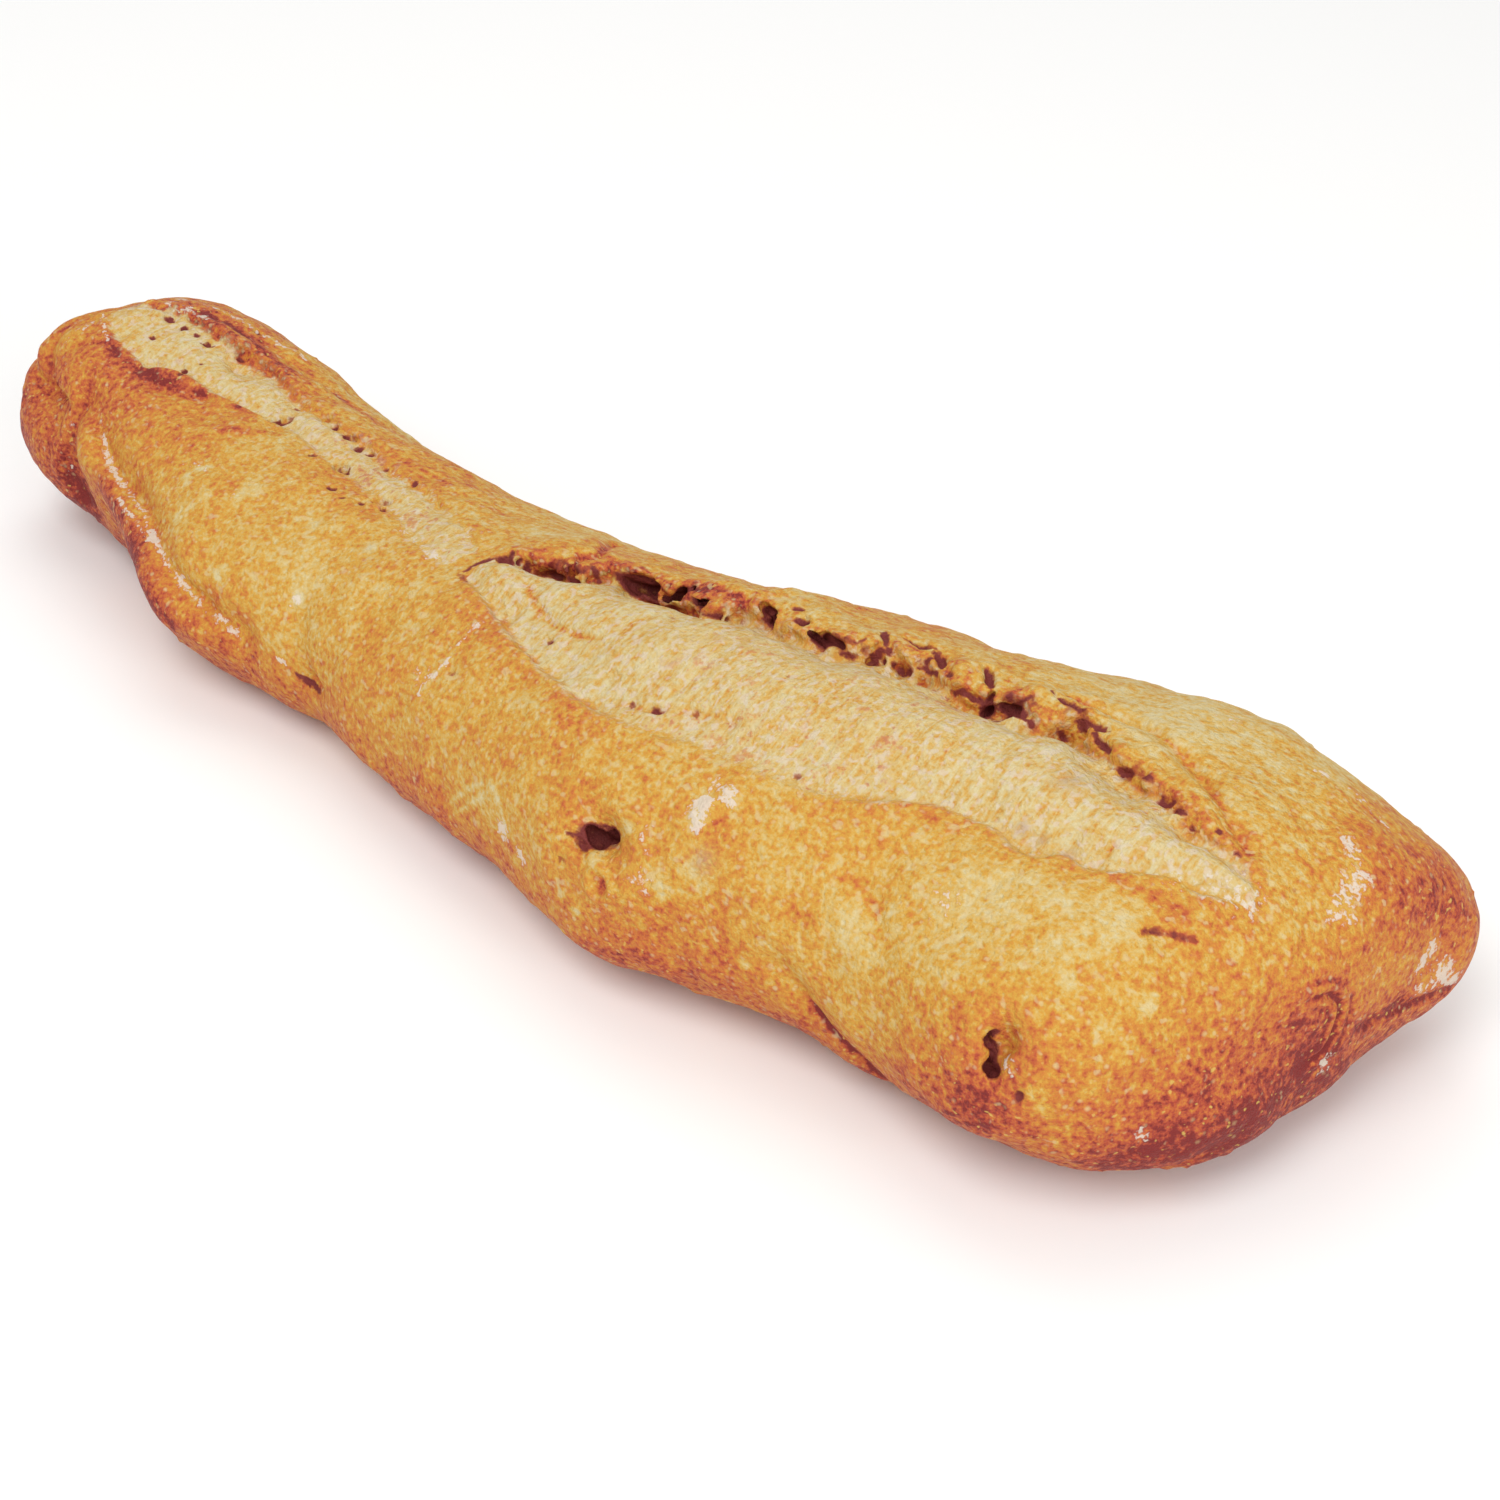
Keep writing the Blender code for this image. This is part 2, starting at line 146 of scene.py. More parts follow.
# stretch marks: lengths and widths in mm of their long lumps and of their short ones
MARKS_ALONG = ((14.0, 2.6, 2.6), (5.0, 1.2, 1.2))
MARKS_ACROSS = ((2.8, 9.0, 9.0), (1.2, 4.6, 4.6))

# --- torn hollows: x, turn, length, breadth, depth, slant in degrees -----------------------
RIDGE_HOLLOWS = (
    (-13.5, 19, 5.0, 1.7, 3.0, -42), (-10.6, 16, 3.2, 2.2, 3.4, 0),
    (-6.4, 14.2, 4.6, 1.9, 4.0, 0), (-1.6, 11.0, 3.0, 2.6, 4.4, 8),
    (8.5, 1.0, 5.0, 2.2, 5.0, -14), (14.0, -2.0, 11.0, 4.0, 7.5, 4), (20.5, -3.5, 6.0, 3.0, 6.5, 10),
    (26.5, -1.0, 9.5, 2.6, 5.0, -12), (40.5, -6.5, 6.4, 2.4, 5.0, -26), (49.0, -5.0, 2.6, 2.0, 3.0, 0),
    (56.0, -1.5, 8.6, 2.2, 4.6, -4), (61.0, 0.0, 1.8, 1.5, 2.0, 0), (64.0, -12.0, 3.8, 1.8, 3.0, -50),
    (65.2, -5.5, 1.9, 3.4, 4.2, 0), (66.7, -9.0, 1.8, 2.4, 3.2, 0), (70.0, -8.0, 4.0, 1.9, 3.8, 0),
    (70.5, -17.0, 6.0, 1.9, 3.4, 0), (76.0, -14.0, 6.0, 2.0, 3.6, -34), (75.0, -11.0, 4.0, 1.8, 4.2, 0),
    (73.5, -13.0, 2.0, 1.7, 2.6, 0), (85.0, -5.0, 6.0, 1.9, 4.4, 8), (86.4, -12.5, 6.6, 2.0, 4.2, -44),
    (89.2, -6.5, 1.9, 5.2, 4.6, 0), (93.2, -7.0, 5.8, 2.2, 4.6, -14), (98.2, -3.5, 4.2, 1.6, 3.0, 4),
    (101.5, -14.5, 7.5, 1.5, 3.0, -10), (107.5, -12.5, 6.0, 1.6, 3.0, 0),
    (112.0, -7.0, 7.6, 1.7, 3.2, -26),
    (119.0, -0.5, 4.6, 1.7, 3.2, 6), (123.6, 0.0, 2.6, 1.5, 2.6, 0), (128.0, 3.5, 3.6, 1.8, 3.0, 10),
    (131.8, 5.5, 2.6, 1.5, 2.4, 0), (134.8, 7.5, 2.8, 1.5, 2.4, -20), (138.7, 5.0, 1.6, 1.3, 1.8, 0),
    (142.8, 7.0, 2.6, 1.1, 1.8, -20), (33.0, 4.5, 2.4, 1.2, 1.6, 0), (45.5, -9.5, 3.2, 1.4, 2.2, 20),
    (80.5, -8.0, 2.6, 1.6, 2.6, -20), (2.4, 5.0, 3.0, 1.5, 2.4, -30), (103.2, -9.0, 3.2, 1.3, 2.2, 0),
)
CRUST_HOLLOWS = (
    (-139.6, -24, 2.6, 1.7, 2.6, 0), (-134.6, -24, 2.2, 1.8, 2.6, 0), (-130.3, -24, 2.0, 1.6, 2.4, 0),
    (-126.2, -24, 2.4, 2.0, 2.8, 0), (-136.4, -11, 1.8, 1.5, 2.0, 0), (-121.6, -13, 1.6, 1.4, 1.8, 0),
    (-122.8, -4, 1.7, 1.6, 2.2, 0), (-121.5, 0, 1.8, 1.5, 2.2, 0), (-119.0, -30, 2.4, 1.5, 2.2, 0),
    (-124.7, -46, 1.8, 1.4, 1.8, 0), (-96.0, -24, 1.8, 1.6, 2.2, 0), (-93.6, -12, 1.9, 4.0, 3.4, -24),
    (-94.8, -6, 2.2, 2.2, 3.0, 0), (-86.7, -23, 2.2, 1.9, 3.0, 0), (-82.7, -22, 1.9, 1.4, 2.2, 0),
    (-77.4, -20, 3.2, 1.6, 2.6, 10), (-73.4, -17, 2.4, 2.0, 2.8, 20), (-70.0, -18, 1.5, 1.3, 1.8, 0),
    (-69.5, 3, 3.6, 2.3, 3.8, 0), (-53.4, 15, 3.8, 1.6, 3.2, 35), (-50.9, 19, 2.0, 1.9, 2.6, 0),
    (-55.7, 23, 1.8, 1.4, 1.8, 0), (-60.0, 25, 1.6, 1.3, 1.6, 0), (-64.5, 22, 2.4, 1.4, 2.0, 0),
    (-52.7, -9, 1.7, 1.5, 2.0, 0), (-76.8, 7, 1.8, 1.4, 1.8, 30), (-62.6, -12, 1.4, 1.4, 1.6, 0),
    (39.3, 50, 1.7, 1.4, 1.6, 0), (44.3, 49, 3.0, 1.6, 1.9, 0), (51.2, 46, 1.7, 1.3, 1.4, 0),
    (12.4, 45, 3.0, 1.4, 1.8, 0), (76.4, 48, 2.0, 1.6, 1.4, 0), (61.3, 27, 1.4, 1.2, 1.2, 0),
    (30.0, 20, 1.6, 1.2, 1.2, 0), (92.0, 24, 1.6, 1.2, 1.0, 0),
    (-1.3, 64, 2.6, 1.2, 1.2, 0), (136.6, 82, 2.4, 2.2, 2.4, 0), (150.5, 18, 1.6, 1.3, 1.2, 0),
    (152.6, 3, 1.6, 1.4, 1.2, 0), (43.3, 82, 1.8, 1.3, 1.3, 0),
)
# the round hole low on the camera's side: x, turn, length, breadth, depth, slant
OPEN_HOLE = (
    (48.2, 76.2, 5.8, 3.6, 5.4, 24), (50.2, 75.4, 2.5, 3.2, 4.6, 0), (46.4, 77.9, 2.0, 2.3, 3.0, 60),
    (44.0, 76.8, 2.8, 1.1, 1.8, 20),
)
HOLE_PLACE = (47.5, -46.5, 31.0)
# how each kind leans in degrees, how uneven it is, and how far it reaches out of the crust
RIDGE_MANNER = (22.0, 0.45, 1.0)
CRUST_MANNER = (0.0, 0.26, 0.4)
HOLE_MANNER = (0.0, 0.30, 0.8)
CUT_DEPTH = 4.5                # a hollow this deep in mm is cut, a shallower one pressed in
CUT_LENGTH = 0.54              # half sizes, as shares of a row's whole ones
CUT_BREADTH = 0.50
PRESS_LENGTH = 0.56
PRESS_BREADTH = 0.58
TORN_PRESS_BREADTH = 0.44      # the same along a torn ridge, where they crowd
PRESSED_SHARE = 0.5            # a pressed hollow sinks by this share of its row's depth
BLISTER_RING = (52.4, 82.6, 2.8, 0.60, 0.90)     # x, turn, radius, half width, height
# lines on the crust that more than one of the tables uses
CORNER_TEAR = ((-6, 12), (-2, 8), (-3, 0), (-0.5, -4), (-2, -10), (-5, -22), (-7, -32))
FLAP_GROOVE = ((100, -19), (113, -22), (120, -19), (126, -16), (131, -11), (138, -3), (144, 4))
BLOOM_CREASE = ((-3.4, 30), (4.2, 37), (11.4, 40), (21.6, 39))
LIP_CREASE = ((36, 51), (44, 49), (52, 45.5), (60, 44))
FAR_GROOVE = ((-137, -34), (-124, -41), (-109, -46), (-92, -48), (-77, -47))
KNOB_FOLD = ((-139, 40), (-139, 63), (-140, 89), (-137, 104))
FLANK_CREASE = ((94.8, 61), (98.6, 63), (103.5, 67))
LONG_SCRATCH = ((7.9, 95), (15.6, 86), (23.9, 76))
SHORT_SCRATCH = ((6.8, 93), (12.2, 86), (17.8, 80))
CROSS_SCRATCH = ((20.4, 78), (23.6, 80), (26.6, 84))
END_SEAM = ((168, 31, 17), (167, 24, 17.9), (166, 16, 18.9), (165, 10, 19.7))
END_WRINKLE = ((166, 19, 20.4), (165, 11.2, 21.1), (164.6, 7.4, 20.8))
TIP_CREASE = ((-149.7, 15), (-143, 6), (-138, 9))
WAIST_RIDGE = ((-5, 52), (-3.5, 56), (-4.3, 65), (-6, 72))
TIP_RIDGE = ((-153, -9), (-147.5, -1), (-142, 7))
KNOB_RIDGE = ((-140.6, 53), (-138.7, 63), (-140.2, 87))
BROAD_SLIT = ((140.8, 44.5), (142.4, 42.5), (144.7, 41.5), (147.2, 40))
SLIT_STEPS = 13
# slits cut along a path: half width at the start, in the middle and at the end, depth
SLITS = (
    (((129.8, 73.4), (129.5, 74.9), (130.2, 77.0), (130.4, 79.1), (131.4, 79.9)), (0.6, 0.6, 1.0), 3.6),
    (BROAD_SLIT, (0.52, 0.54, 0.44), 3.0),
    (((-46.0, 93), (-42.5, 94.5), (-39.5, 95.5)), (0.35, 0.55, 0.35), 1.8),
    (((-18.5, 37), (-18.3, 29), (-16.6, 23)), (0.38, 0.34, 0.40), 2.0),
    (((-18.5, 37), (-14.5, 40), (-10.5, 42)), (0.36, 0.42, 0.36), 1.8),
    (((-16.0, 22), (-14.5, 20), (-12.5, 17.5)), (0.42, 0.6, 0.5), 2.2),
)
# creases (depth above 0) and rolls (below 0): path, half width, depth
CREASES = (
    (((-132, 45), (-125, 56), (-116, 65), (-103, 69), (-95, 74), (-85, 79), (-77, 82),
      (-65, 88)), 0.9, 0.8),
    (((-134, 54), (-124, 66), (-112, 74), (-98, 80), (-84, 87), (-72, 93)), 3.2, -0.45),
    (KNOB_FOLD, 1.7, 1.2),
    (((-142, 43), (-142, 63), (-143, 86)), 1.8, -0.6),
    (((-154, -20), (-158, 0), (-158, 20), (-154, 34), (-148, 44)), 1.8, 0.9),
    (((-157, -30), (-162, 0), (-163, 30), (-160, 60)), 1.5, 0.6),
    (((90, 87), (92, 90), (94.3, 93), (96.8, 96), (100.2, 99), (104.5, 104), (110, 108)), 0.7, 0.7),
    (((94, 88), (98, 93), (103.7, 95), (108.4, 97)), 1.6, -0.2),
    (FLANK_CREASE, 1.5, 0.5),
    (LONG_SCRATCH, 0.4, -0.22),
    (SHORT_SCRATCH, 0.4, -0.20),
    (CROSS_SCRATCH, 0.4, -0.20),
    (((105, 44), (106.6, 49), (111, 52), (117, 51), (119, 45)), 1.3, 0.45),
    (WAIST_RIDGE, 0.5, -0.25),
    (FLAP_GROOVE, 1.1, 1.2),
    (((96, -14), (104, -14), (113, -15), (121, -12), (127, -8), (133, -1), (139, 6)), 1.3, -0.7),
    (TIP_RIDGE, 0.5, -0.3),
    (KNOB_RIDGE, 0.5, -0.3),
    (BLOOM_CREASE, 1.0, 0.8),
    (LIP_CREASE, 0.8, 0.5),
    (CORNER_TEAR, 1.0, 1.5),
    (((-131, 6), (-124, 14), (-118, 10), (-112, 4)), 1.8, 1.1),
    (((22, -5), (28, -6), (35, -4)), 1.4, 1.0),
    (((60, 70), (66, 84), (70, 98)), 3.0, 0.5),
    (((-48, 74), (-44, 86), (-41, 94)), 2.4, 0.7),
    (((160, 105), (150, 112), (138, 112)), 2.2, 0.9),
    (END_SEAM, 0.7, 0.9),
    (END_WRINKLE, 0.9, 0.6),
    (TIP_CREASE, 0.9, 0.6),
    (((-167, 0, 36.5), (-163, -4, 35.5), (-160, -8, 34.8), (-154.6, -7.4, 33.3),
      (-147, -10.3, 34.6), (-141, -12, 34.5)), 1.7, 1.6),
    (((-158.4, 19), (-156.8, 9), (-154.4, -1), (-152.2, -9)), 0.9, 0.6),
    (FAR_GROOVE, 2.2, 0.7),
    (((-100, -60), (-60, -58), (-20, -66)), 2.0, 0.7),
    (((20, -74), (60, -82), (96, -78)), 2.2, 0.8),
)
# uneven crust everywhere: height in mm, size, seed
CRUST_LUMPS = ((0.30, 0.009, 50), (0.16, 0.0035, 51), (0.07, 0.0015, 52))
NEAR_CRUMBS = 70
FAR_CRUMBS = 10
CRUMB_SIZES = (0.5, 1.2)
CRUMB_SEED = 11
BLISTERS = 900
BLISTER_SIZES = (0.5, 1.5)
BLISTER_HEIGHTS = (0.10, 0.34)
BLISTER_SIGNS = (1.0, 1.0, 1.0, -0.8)    # one in four has fallen in
BLISTER_SEED = 3
# soft swells and sags of the whole form: x, y, z, how far out in mm
SWELL_REACH = 8.5
SWELLS = (
    (-139, 33, 43, -0.6), (-126, 37, 38, -0.4), (-63, 23, 37, -0.4), (20, 17, 44, -0.5),
    (29, 24, 42, -1.1), (44, 24, 45, -0.4), (64, 33, 41, 0.5), (90, 33, 45, -0.6),
    (113, 35, 47, 0.8), (154, 39, 41, -1.2), (163, 40, 36, -1.7), (167, 37, 27, 0.9),
    (168, 33, 18, 0.9), (165, 26, 10, -0.5), (164, 13, 9, -1.8), (161, 1, 9, 0.3),
    (159, -12, 12, 1.9), (128, -47, 17, 1.1), (114, -43, 13, 1.4), (90, -41, 9, -0.4),
    (68, -45, 10, 0.6), (56, -46, 9, 0.9), (47, -50, 12, 1.6), (16, -44, 11, -0.7),
    (-37, -32, 7, -0.9), (-79, -37, 14, -1.1), (-89, -35, 22, 0.8), (-127, -15, 11, 0.9),
    (-163, -10, 32, -1.2), (-160, 0, 41, 1.3), (-153, 11, 46, 1.0),
)
# arcs where the dough was turned under
SWIRL = (161.6, 53, 6.6)       # x, turn, radius of the middle arc
SWIRL_WIDTH = 2.8              # they fade over this distance from the middle one
SWIRL_GAP = 2.6
SWIRL_HEIGHT = 0.60
# painted shade in the swirl's grooves
SWIRL_GROOVE_SHADE = 0.4
# dried flakes of dough and flour that stand on the crust: x, turn, length, breadth, height
FLAKES = (
    (65.8, 62.5, 3.8, 5.4, 0.7), (68.5, 57, 3.2, 2.0, 0.6), (70.5, 58.5, 2.2, 1.6, 0.5),
    (67.6, 54.0, 2.0, 1.3, 0.5), (50.4, 79.2, 3.6, 2.6, 0.9), (133.6, 77.5, 3.2, 2.6, 0.9),
    (-3.2, 50.5, 1.8, 1.2, 0.4),
)


# --- small helpers -----------------------------------------------------------------------
KNOT_FACTORS = (73856093, 19349663, 83492791)    # big odd numbers that scatter the noise
KNOT_MIXERS = ((13, 1274126177), (15, 668265263))
NOISE_STEP = (13.7, 5.9, 9.1)                    # how far each seed moves the noise
NOISE_GAIN = 1.3


def pick_only(piece):
    """Selects one object alone and makes it the active one."""
    bpy.ops.object.select_all(action="DESELECT")
    piece.select_set(True)
    bpy.context.view_layer.objects.active = piece


def add_modifier(piece, kind, **settings):
    """Adds a modifier and applies it."""
    pick_only(piece)
    modifier = piece.modifiers.new(kind.lower(), kind)
    for setting, value in settings.items():
        setattr(modifier, setting, value)
    bpy.ops.object.modifier_apply(modifier=modifier.name)


def read_vectors(mesh, what="co"):
    """Every vertex's place, or its normal, one to a row."""
    flat = np.empty(len(mesh.vertices) * 3)
    mesh.vertices.foreach_get(what, flat)
    return flat.reshape(-1, 3)


def write_points(mesh, points):
    mesh.vertices.foreach_set("co", np.ascontiguousarray(points).ravel())
    mesh.update()


def edge_ends(mesh):
    """The first and the second vertex of every edge."""
    ends = np.empty(len(mesh.edges) * 2, np.int64)
    mesh.edges.foreach_get("vertices", ends)
    return ends.reshape(-1, 2).T


def smooth_step(value):
    """0 below 0, 1 above 1, smooth between."""
    share = np.clip(value, 0.0, 1.0)
    return share * share * (3.0 - 2.0 * share)


def lumps(points, size, seed):
    """Smooth noise from about -1 to 1. Size is one length, or one for each axis."""
    cell = points / size + np.array(NOISE_STEP) * seed
    low = np.floor(cell).astype(np.int64)
    part = cell - low
    ease = part ** 3 * (part * (part * 6.0 - 15.0) + 10.0)
    total = np.zeros(len(points))
    for corner in product((0, 1), repeat=3):
        knot = low + corner
        from_x, from_y, from_z = (knot * np.array(KNOT_FACTORS)).T
        number = from_x ^ from_y ^ from_z
        for shift, factor in KNOT_MIXERS:
            number = (number ^ (number >> shift)) * factor & 0x7FFFFFFF
        height = (number & 0xFFFFF) / 524287.5 - 1.0
        total += height * np.prod(np.where(corner, ease, 1.0 - ease), axis=1)
    return total * NOISE_GAIN


def smooth_path(places, count=60):
    """Places along a curve through the given ones."""
    table = np.array(places, float)
    padded = np.vstack((2 * table[0] - table[1], table, 2 * table[-1] - table[-2]))
    rows = []
    for at in np.linspace(0.0, len(table) - 1.0001, count):
        start = int(at)
        t = at - start
        a, b, c, d = padded[start:start + 4]
        rows.append(0.5 * (2 * b + (c - a) * t + (2 * a - 5 * b + 4 * c - d) * t ** 2
                           + (3 * b - a - 3 * c + d) * t ** 3))
    return np.array(rows)


def turn_of(points):
    """The angle in degrees of every point round the loaf's axis."""
    return np.degrees(np.arctan2(AXIS_Y - points[:, 1], points[:, 2] - AXIS_Z))


def radius_of(points):
    """How far every point lies from the loaf's axis."""
    return np.hypot(points[:, 1] - AXIS_Y, points[:, 2] - AXIS_Z)


# --- places on the plain loaf ------------------------------------------------------------
class Plain:
    """The loaf's form without relief: finds places on it, and how far a point is from it."""

    def __init__(self, mesh):
        corners = [vertex.co.copy() for vertex in mesh.vertices]
        faces = [tuple(face.vertices) for face in mesh.polygons]
        self.tree = BVHTree.FromPolygons(corners, faces)
        xs = [corner.x for corner in corners]
        self.low_x = min(xs) + LOW_CAP
        self.high_x = max(xs) - HIGH_CAP

    def spot(self, *place):
        """The point on the crust at (x, turn), or nearest to (x, y, z), and its normal."""
        if len(place) == 3:
            hit, normal, _, _ = self.tree.find_nearest(Vector(place) * MM)
            return hit, normal
        x, turn = place
        angle = math.radians(turn)
        away = Vector((0.0, -math.sin(angle), math.cos(angle)))
        start = min(max(x * MM, self.low_x), self.high_x)
        if start != x * MM:
            away = (away + Vector(((x * MM - start) / CAP_LEAN, 0.0, 0.0))).normalized()
        hit, normal, _, _ = self.tree.ray_cast(Vector((start, AXIS_Y, AXIS_Z)), away)
        return hit, normal

    def line(self, path, count=48):
        """Points on the crust along a path."""
        return np.array([self.spot(*place)[0] for place in smooth_path(path, count)])

    def height(self, points):
        """How far each point stands above the plain form, below 0 where it is sunk."""
        heights = np.empty(len(points))
        for number, point in enumerate(points):
            place = Vector(point)
            hit, normal, _, away = self.tree.find_nearest(place)
            heights[number] = math.copysign(away, (place - hit).dot(normal))
        return heights


def distance_to(points, line, reach):
    """Rows of the points within reach of a path of straight pieces, and their distances."""
    low = line.min(axis=0) - reach
    high = line.max(axis=0) + reach
    rows = np.flatnonzero(((points > low) & (points < high)).all(axis=1))
    close = points[rows]
    nearest = np.full(len(rows), np.inf)
    for start, end in zip(line, line[1:]):
        run = end - start
        share = np.clip((close - start) @ run / max(run @ run, 1e-12), 0.0, 1.0)
        away = np.linalg.norm(close - start - share[:, None] * run, axis=1)
        nearest = np.minimum(nearest, away)
    return rows, nearest


def line_total(points, plain, lines):
    """Sum of soft lines on the crust. Each has a path, a half width in mm and an amount."""
    total = np.zeros(len(points))
    for path, half_width, amount in lines:
        wide = half_width * MM
        rows, away = distance_to(points, plain.line(path), 3.2 * wide)
        wander = 1.0 + 0.25 * lumps(points[rows], 0.004, 40)
        uneven = 1.0 + 0.25 * lumps(points[rows], 0.006, 41)
        total[rows] += amount * uneven * np.exp(-(away / (wide * wander)) ** 2)
    return total


def across(points, turn, path):
    """Signed distance in mm from a lip or a ridge, above 0 on the side of smaller turns."""
    rows = smooth_path(path, 160)
    x = points[:, 0] / MM
    radius = radius_of(points) / MM
    edge = np.interp(x, rows[:, 0], rows[:, 1])
    steep = np.gradient(rows[:, 1], rows[:, 0])
    slope = np.radians(np.interp(x, rows[:, 0], steep)) * radius
    return np.radians(edge - turn) * radius / np.hypot(1.0, slope)


def along(points, table):
    """A value that changes along the loaf, read at each point."""
    return np.interp(points[:, 0] / MM, *np.array(table, float).T)


def ragged(points):
    """How torn edges wander, from about -1 to 1."""
    return 0.75 * lumps(points, 0.0055, 4) + 0.45 * lumps(points, 0.0020, 9)


def burst_places(points, burst, rag):
    """Distances in mm past the lip and before the ridge, the width there, and how open it is."""
    turn = turn_of(points)
    x = points[:, 0] / MM
    past_lip = across(points, turn, burst["lip"])
    before_ridge = -across(points, turn, burst["ridge"])
    width = past_lip + before_ridge
    start = burst["lip"][0][0]
    end = burst["lip"][-1][0]
    fade = smooth_step((x - start) / BURST_FADE) * smooth_step((end - x) / BURST_FADE)
    fade *= smooth_step(width / BURST_FULL_WIDTH) * (np.abs(turn) < BURST_TURN)
    return past_lip + 0.35 * rag, before_ridge + burst["ragged"] * 0.5 * rag, width, fade


# --- relief ------------------------------------------------------------------------------
def streaks(points, along_x, seed):
    """Stretch marks: long thin noise, along X or across the loaf."""
    coarse, fine = MARKS_ALONG if along_x else MARKS_ACROSS
    bent = points + 0.0022 * lumps(points, 0.010, seed + 5)[:, None]
    return (0.6 * lumps(bent, np.array(coarse) * MM, seed)
            + 0.4 * lumps(bent, np.array(fine) * MM, seed + 1))


def burst_relief(points, burst, rag, seed):
    """A slash that opened, in mm: sunk and swollen bloom, torn trench, raised flap."""
    past_lip, before_ridge, width, fade = burst_places(points, burst, rag)
    drop = along(points, burst["drop"])
    share = np.clip(before_ridge / np.maximum(width, 1.0), 0.0, 1.0)
    inside = smooth_step(past_lip / burst["lip_width"] + 0.3)
    inside *= smooth_step(before_ridge / RIDGE_WIDTH + 0.5)
    bloom = burst["swell"] * np.sin(math.pi * share) - drop
    bloom += BLOOM_STREAK * streaks(points, False, seed) * smooth_step(width / 12.0)
    trench = along(points, burst["trench"]) * np.exp(-(before_ridge / TRENCH_WIDTH) ** 2)
    trench = trench * (0.9 + 0.6 * rag)
    beyond = smooth_step(0.5 - before_ridge / RIDGE_WIDTH)
    beyond *= np.exp(np.minimum(before_ridge, 0.0) / FLAP_WIDTH)
    flap = along(points, burst["flap"]) * beyond * (1.0 + 0.45 * rag)
    flap += beyond * (FLAP_STREAK * streaks(points, True, seed)
                      + FLAP_LUMPS * lumps(points, 0.0024, seed + 6))
    rim = smooth_step(0.4 - past_lip / burst["lip_width"])
    rim *= np.exp(np.minimum(past_lip, 0.0) / RIM_WIDTH) * np.minimum(drop, 1.5)
    torn = np.exp(-(before_ridge / TORN_WIDTH) ** 2) * along(points, burst["toast"])
    rough = torn * (0.75 - 1.7 * np.abs(lumps(points, 0.0023, seed + 2))
                    + 0.35 * lumps(points, 0.0011, seed + 3))
    crack = CRACK_DEPTH * crack_of(points, before_ridge, burst)
    return fade * (inside * (bloom - trench) + flap + RIM_HEIGHT * rim + TORN_HEIGHT * rough
                   - crack)


def crack_of(points, before_ridge, burst):
    """1 in the jagged, broken crack that runs along a torn ridge."""
    jag = 1.7 * lumps(points, 0.0065, 43) + 1.0 * lumps(points, 0.0026, 44)
    broken = smooth_step(0.55 + 1.1 * lumps(points, 0.0080, 45))
    line = np.exp(-((before_ridge + jag) / CRACK_WIDTH) ** 2)
    return line * broken * along(points, burst["toast"])


def crust_relief(points, plain):
    """How far every point moves out along its normal, in mm."""
    rag = ragged(points)
    relief = burst_relief(points, NEAR_BURST, rag, 20) + burst_relief(points, FAR_BURST, rag, 30)
    relief -= line_total(points, plain, CREASES)
    broad, middle, fine = (height * lumps(points, *lump) for height, *lump in CRUST_LUMPS)
    relief += broad + middle
    relief += fine
    relief += SWIRL_HEIGHT * swirl_waves(points, plain) + ring_relief(points, plain)
    return relief + flake_relief(points, plain)


def swirl_waves(points, plain):
    """Curved wrinkles, from -1 to 1, where the dough was turned under at the broad end."""
    x, turn, radius = SWIRL
    centre = np.array(plain.spot(x, turn)[0])
    away = np.linalg.norm(points - centre, axis=1) / MM
    away += 0.8 * lumps(points, 0.005, 60)
    ring = np.exp(-((away - radius) / SWIRL_WIDTH) ** 2)
    side = smooth_step((points[:, 1] - centre[1]) / MM / 6.0 + 0.5)
    return ring * side * np.cos((away - radius) * 2.0 * math.pi / SWIRL_GAP + math.pi)


def ring_relief(points, plain):
    """A blister that fell in and left its rim."""
    x, turn, radius, half_width, height = BLISTER_RING
    away = np.linalg.norm(points - np.array(plain.spot(x, turn)[0]), axis=1) / MM
    away += 0.5 * lumps(points, 0.003, 66)
    rim = height * np.exp(-((away - radius) / half_width) ** 2)
    return rim - 0.35 * np.exp(-(away / (radius * 0.6)) ** 2)


def flake_relief(points, plain):
    """Dried flakes that stand proud of the crust."""
    total = np.zeros(len(points))
    for number, (x, turn, length, breadth, height) in enumerate(FLAKES):
        centre, normal = plain.spot(x, turn)
        away = points - np.array(centre)
        rows = np.flatnonzero(np.linalg.norm(away, axis=1) < length * MM)
        long = away[rows, 0] / (length * 0.5 * MM)
        side = np.array(normal.cross(Vector((1.0, 0.0, 0.0))))
        wide = away[rows] @ side / (breadth * 0.5 * MM)
        edge = np.hypot(long, wide) + 0.35 * lumps(points[rows], 0.0014, 70 + number)
        total[rows] += height * smooth_step((1.15 - edge) / 0.45)
    return total


def blister_relief(points):
    """Small blisters, and a few broken ones, over all the crust, in mm."""
    draw = np.random.default_rng(BLISTER_SEED)
    tree = KDTree(len(points))
    for number, point in enumerate(points):
        tree.insert(point, number)
    tree.balance()
    total = np.zeros(len(points))
    for number in draw.integers(0, len(points), BLISTERS):
        reach = draw.uniform(*BLISTER_SIZES) ** 1.3 * MM
        height = draw.uniform(*BLISTER_HEIGHTS) * draw.choice(BLISTER_SIGNS)
        found = tree.find_range(points[number], reach * 1.6)
        rows = [row for _, row, _ in found]
        away = np.array([distance for _, _, distance in found]) / (reach * 1.6)
        total[rows] += height * (1.0 - away ** 2) ** 2
    return total


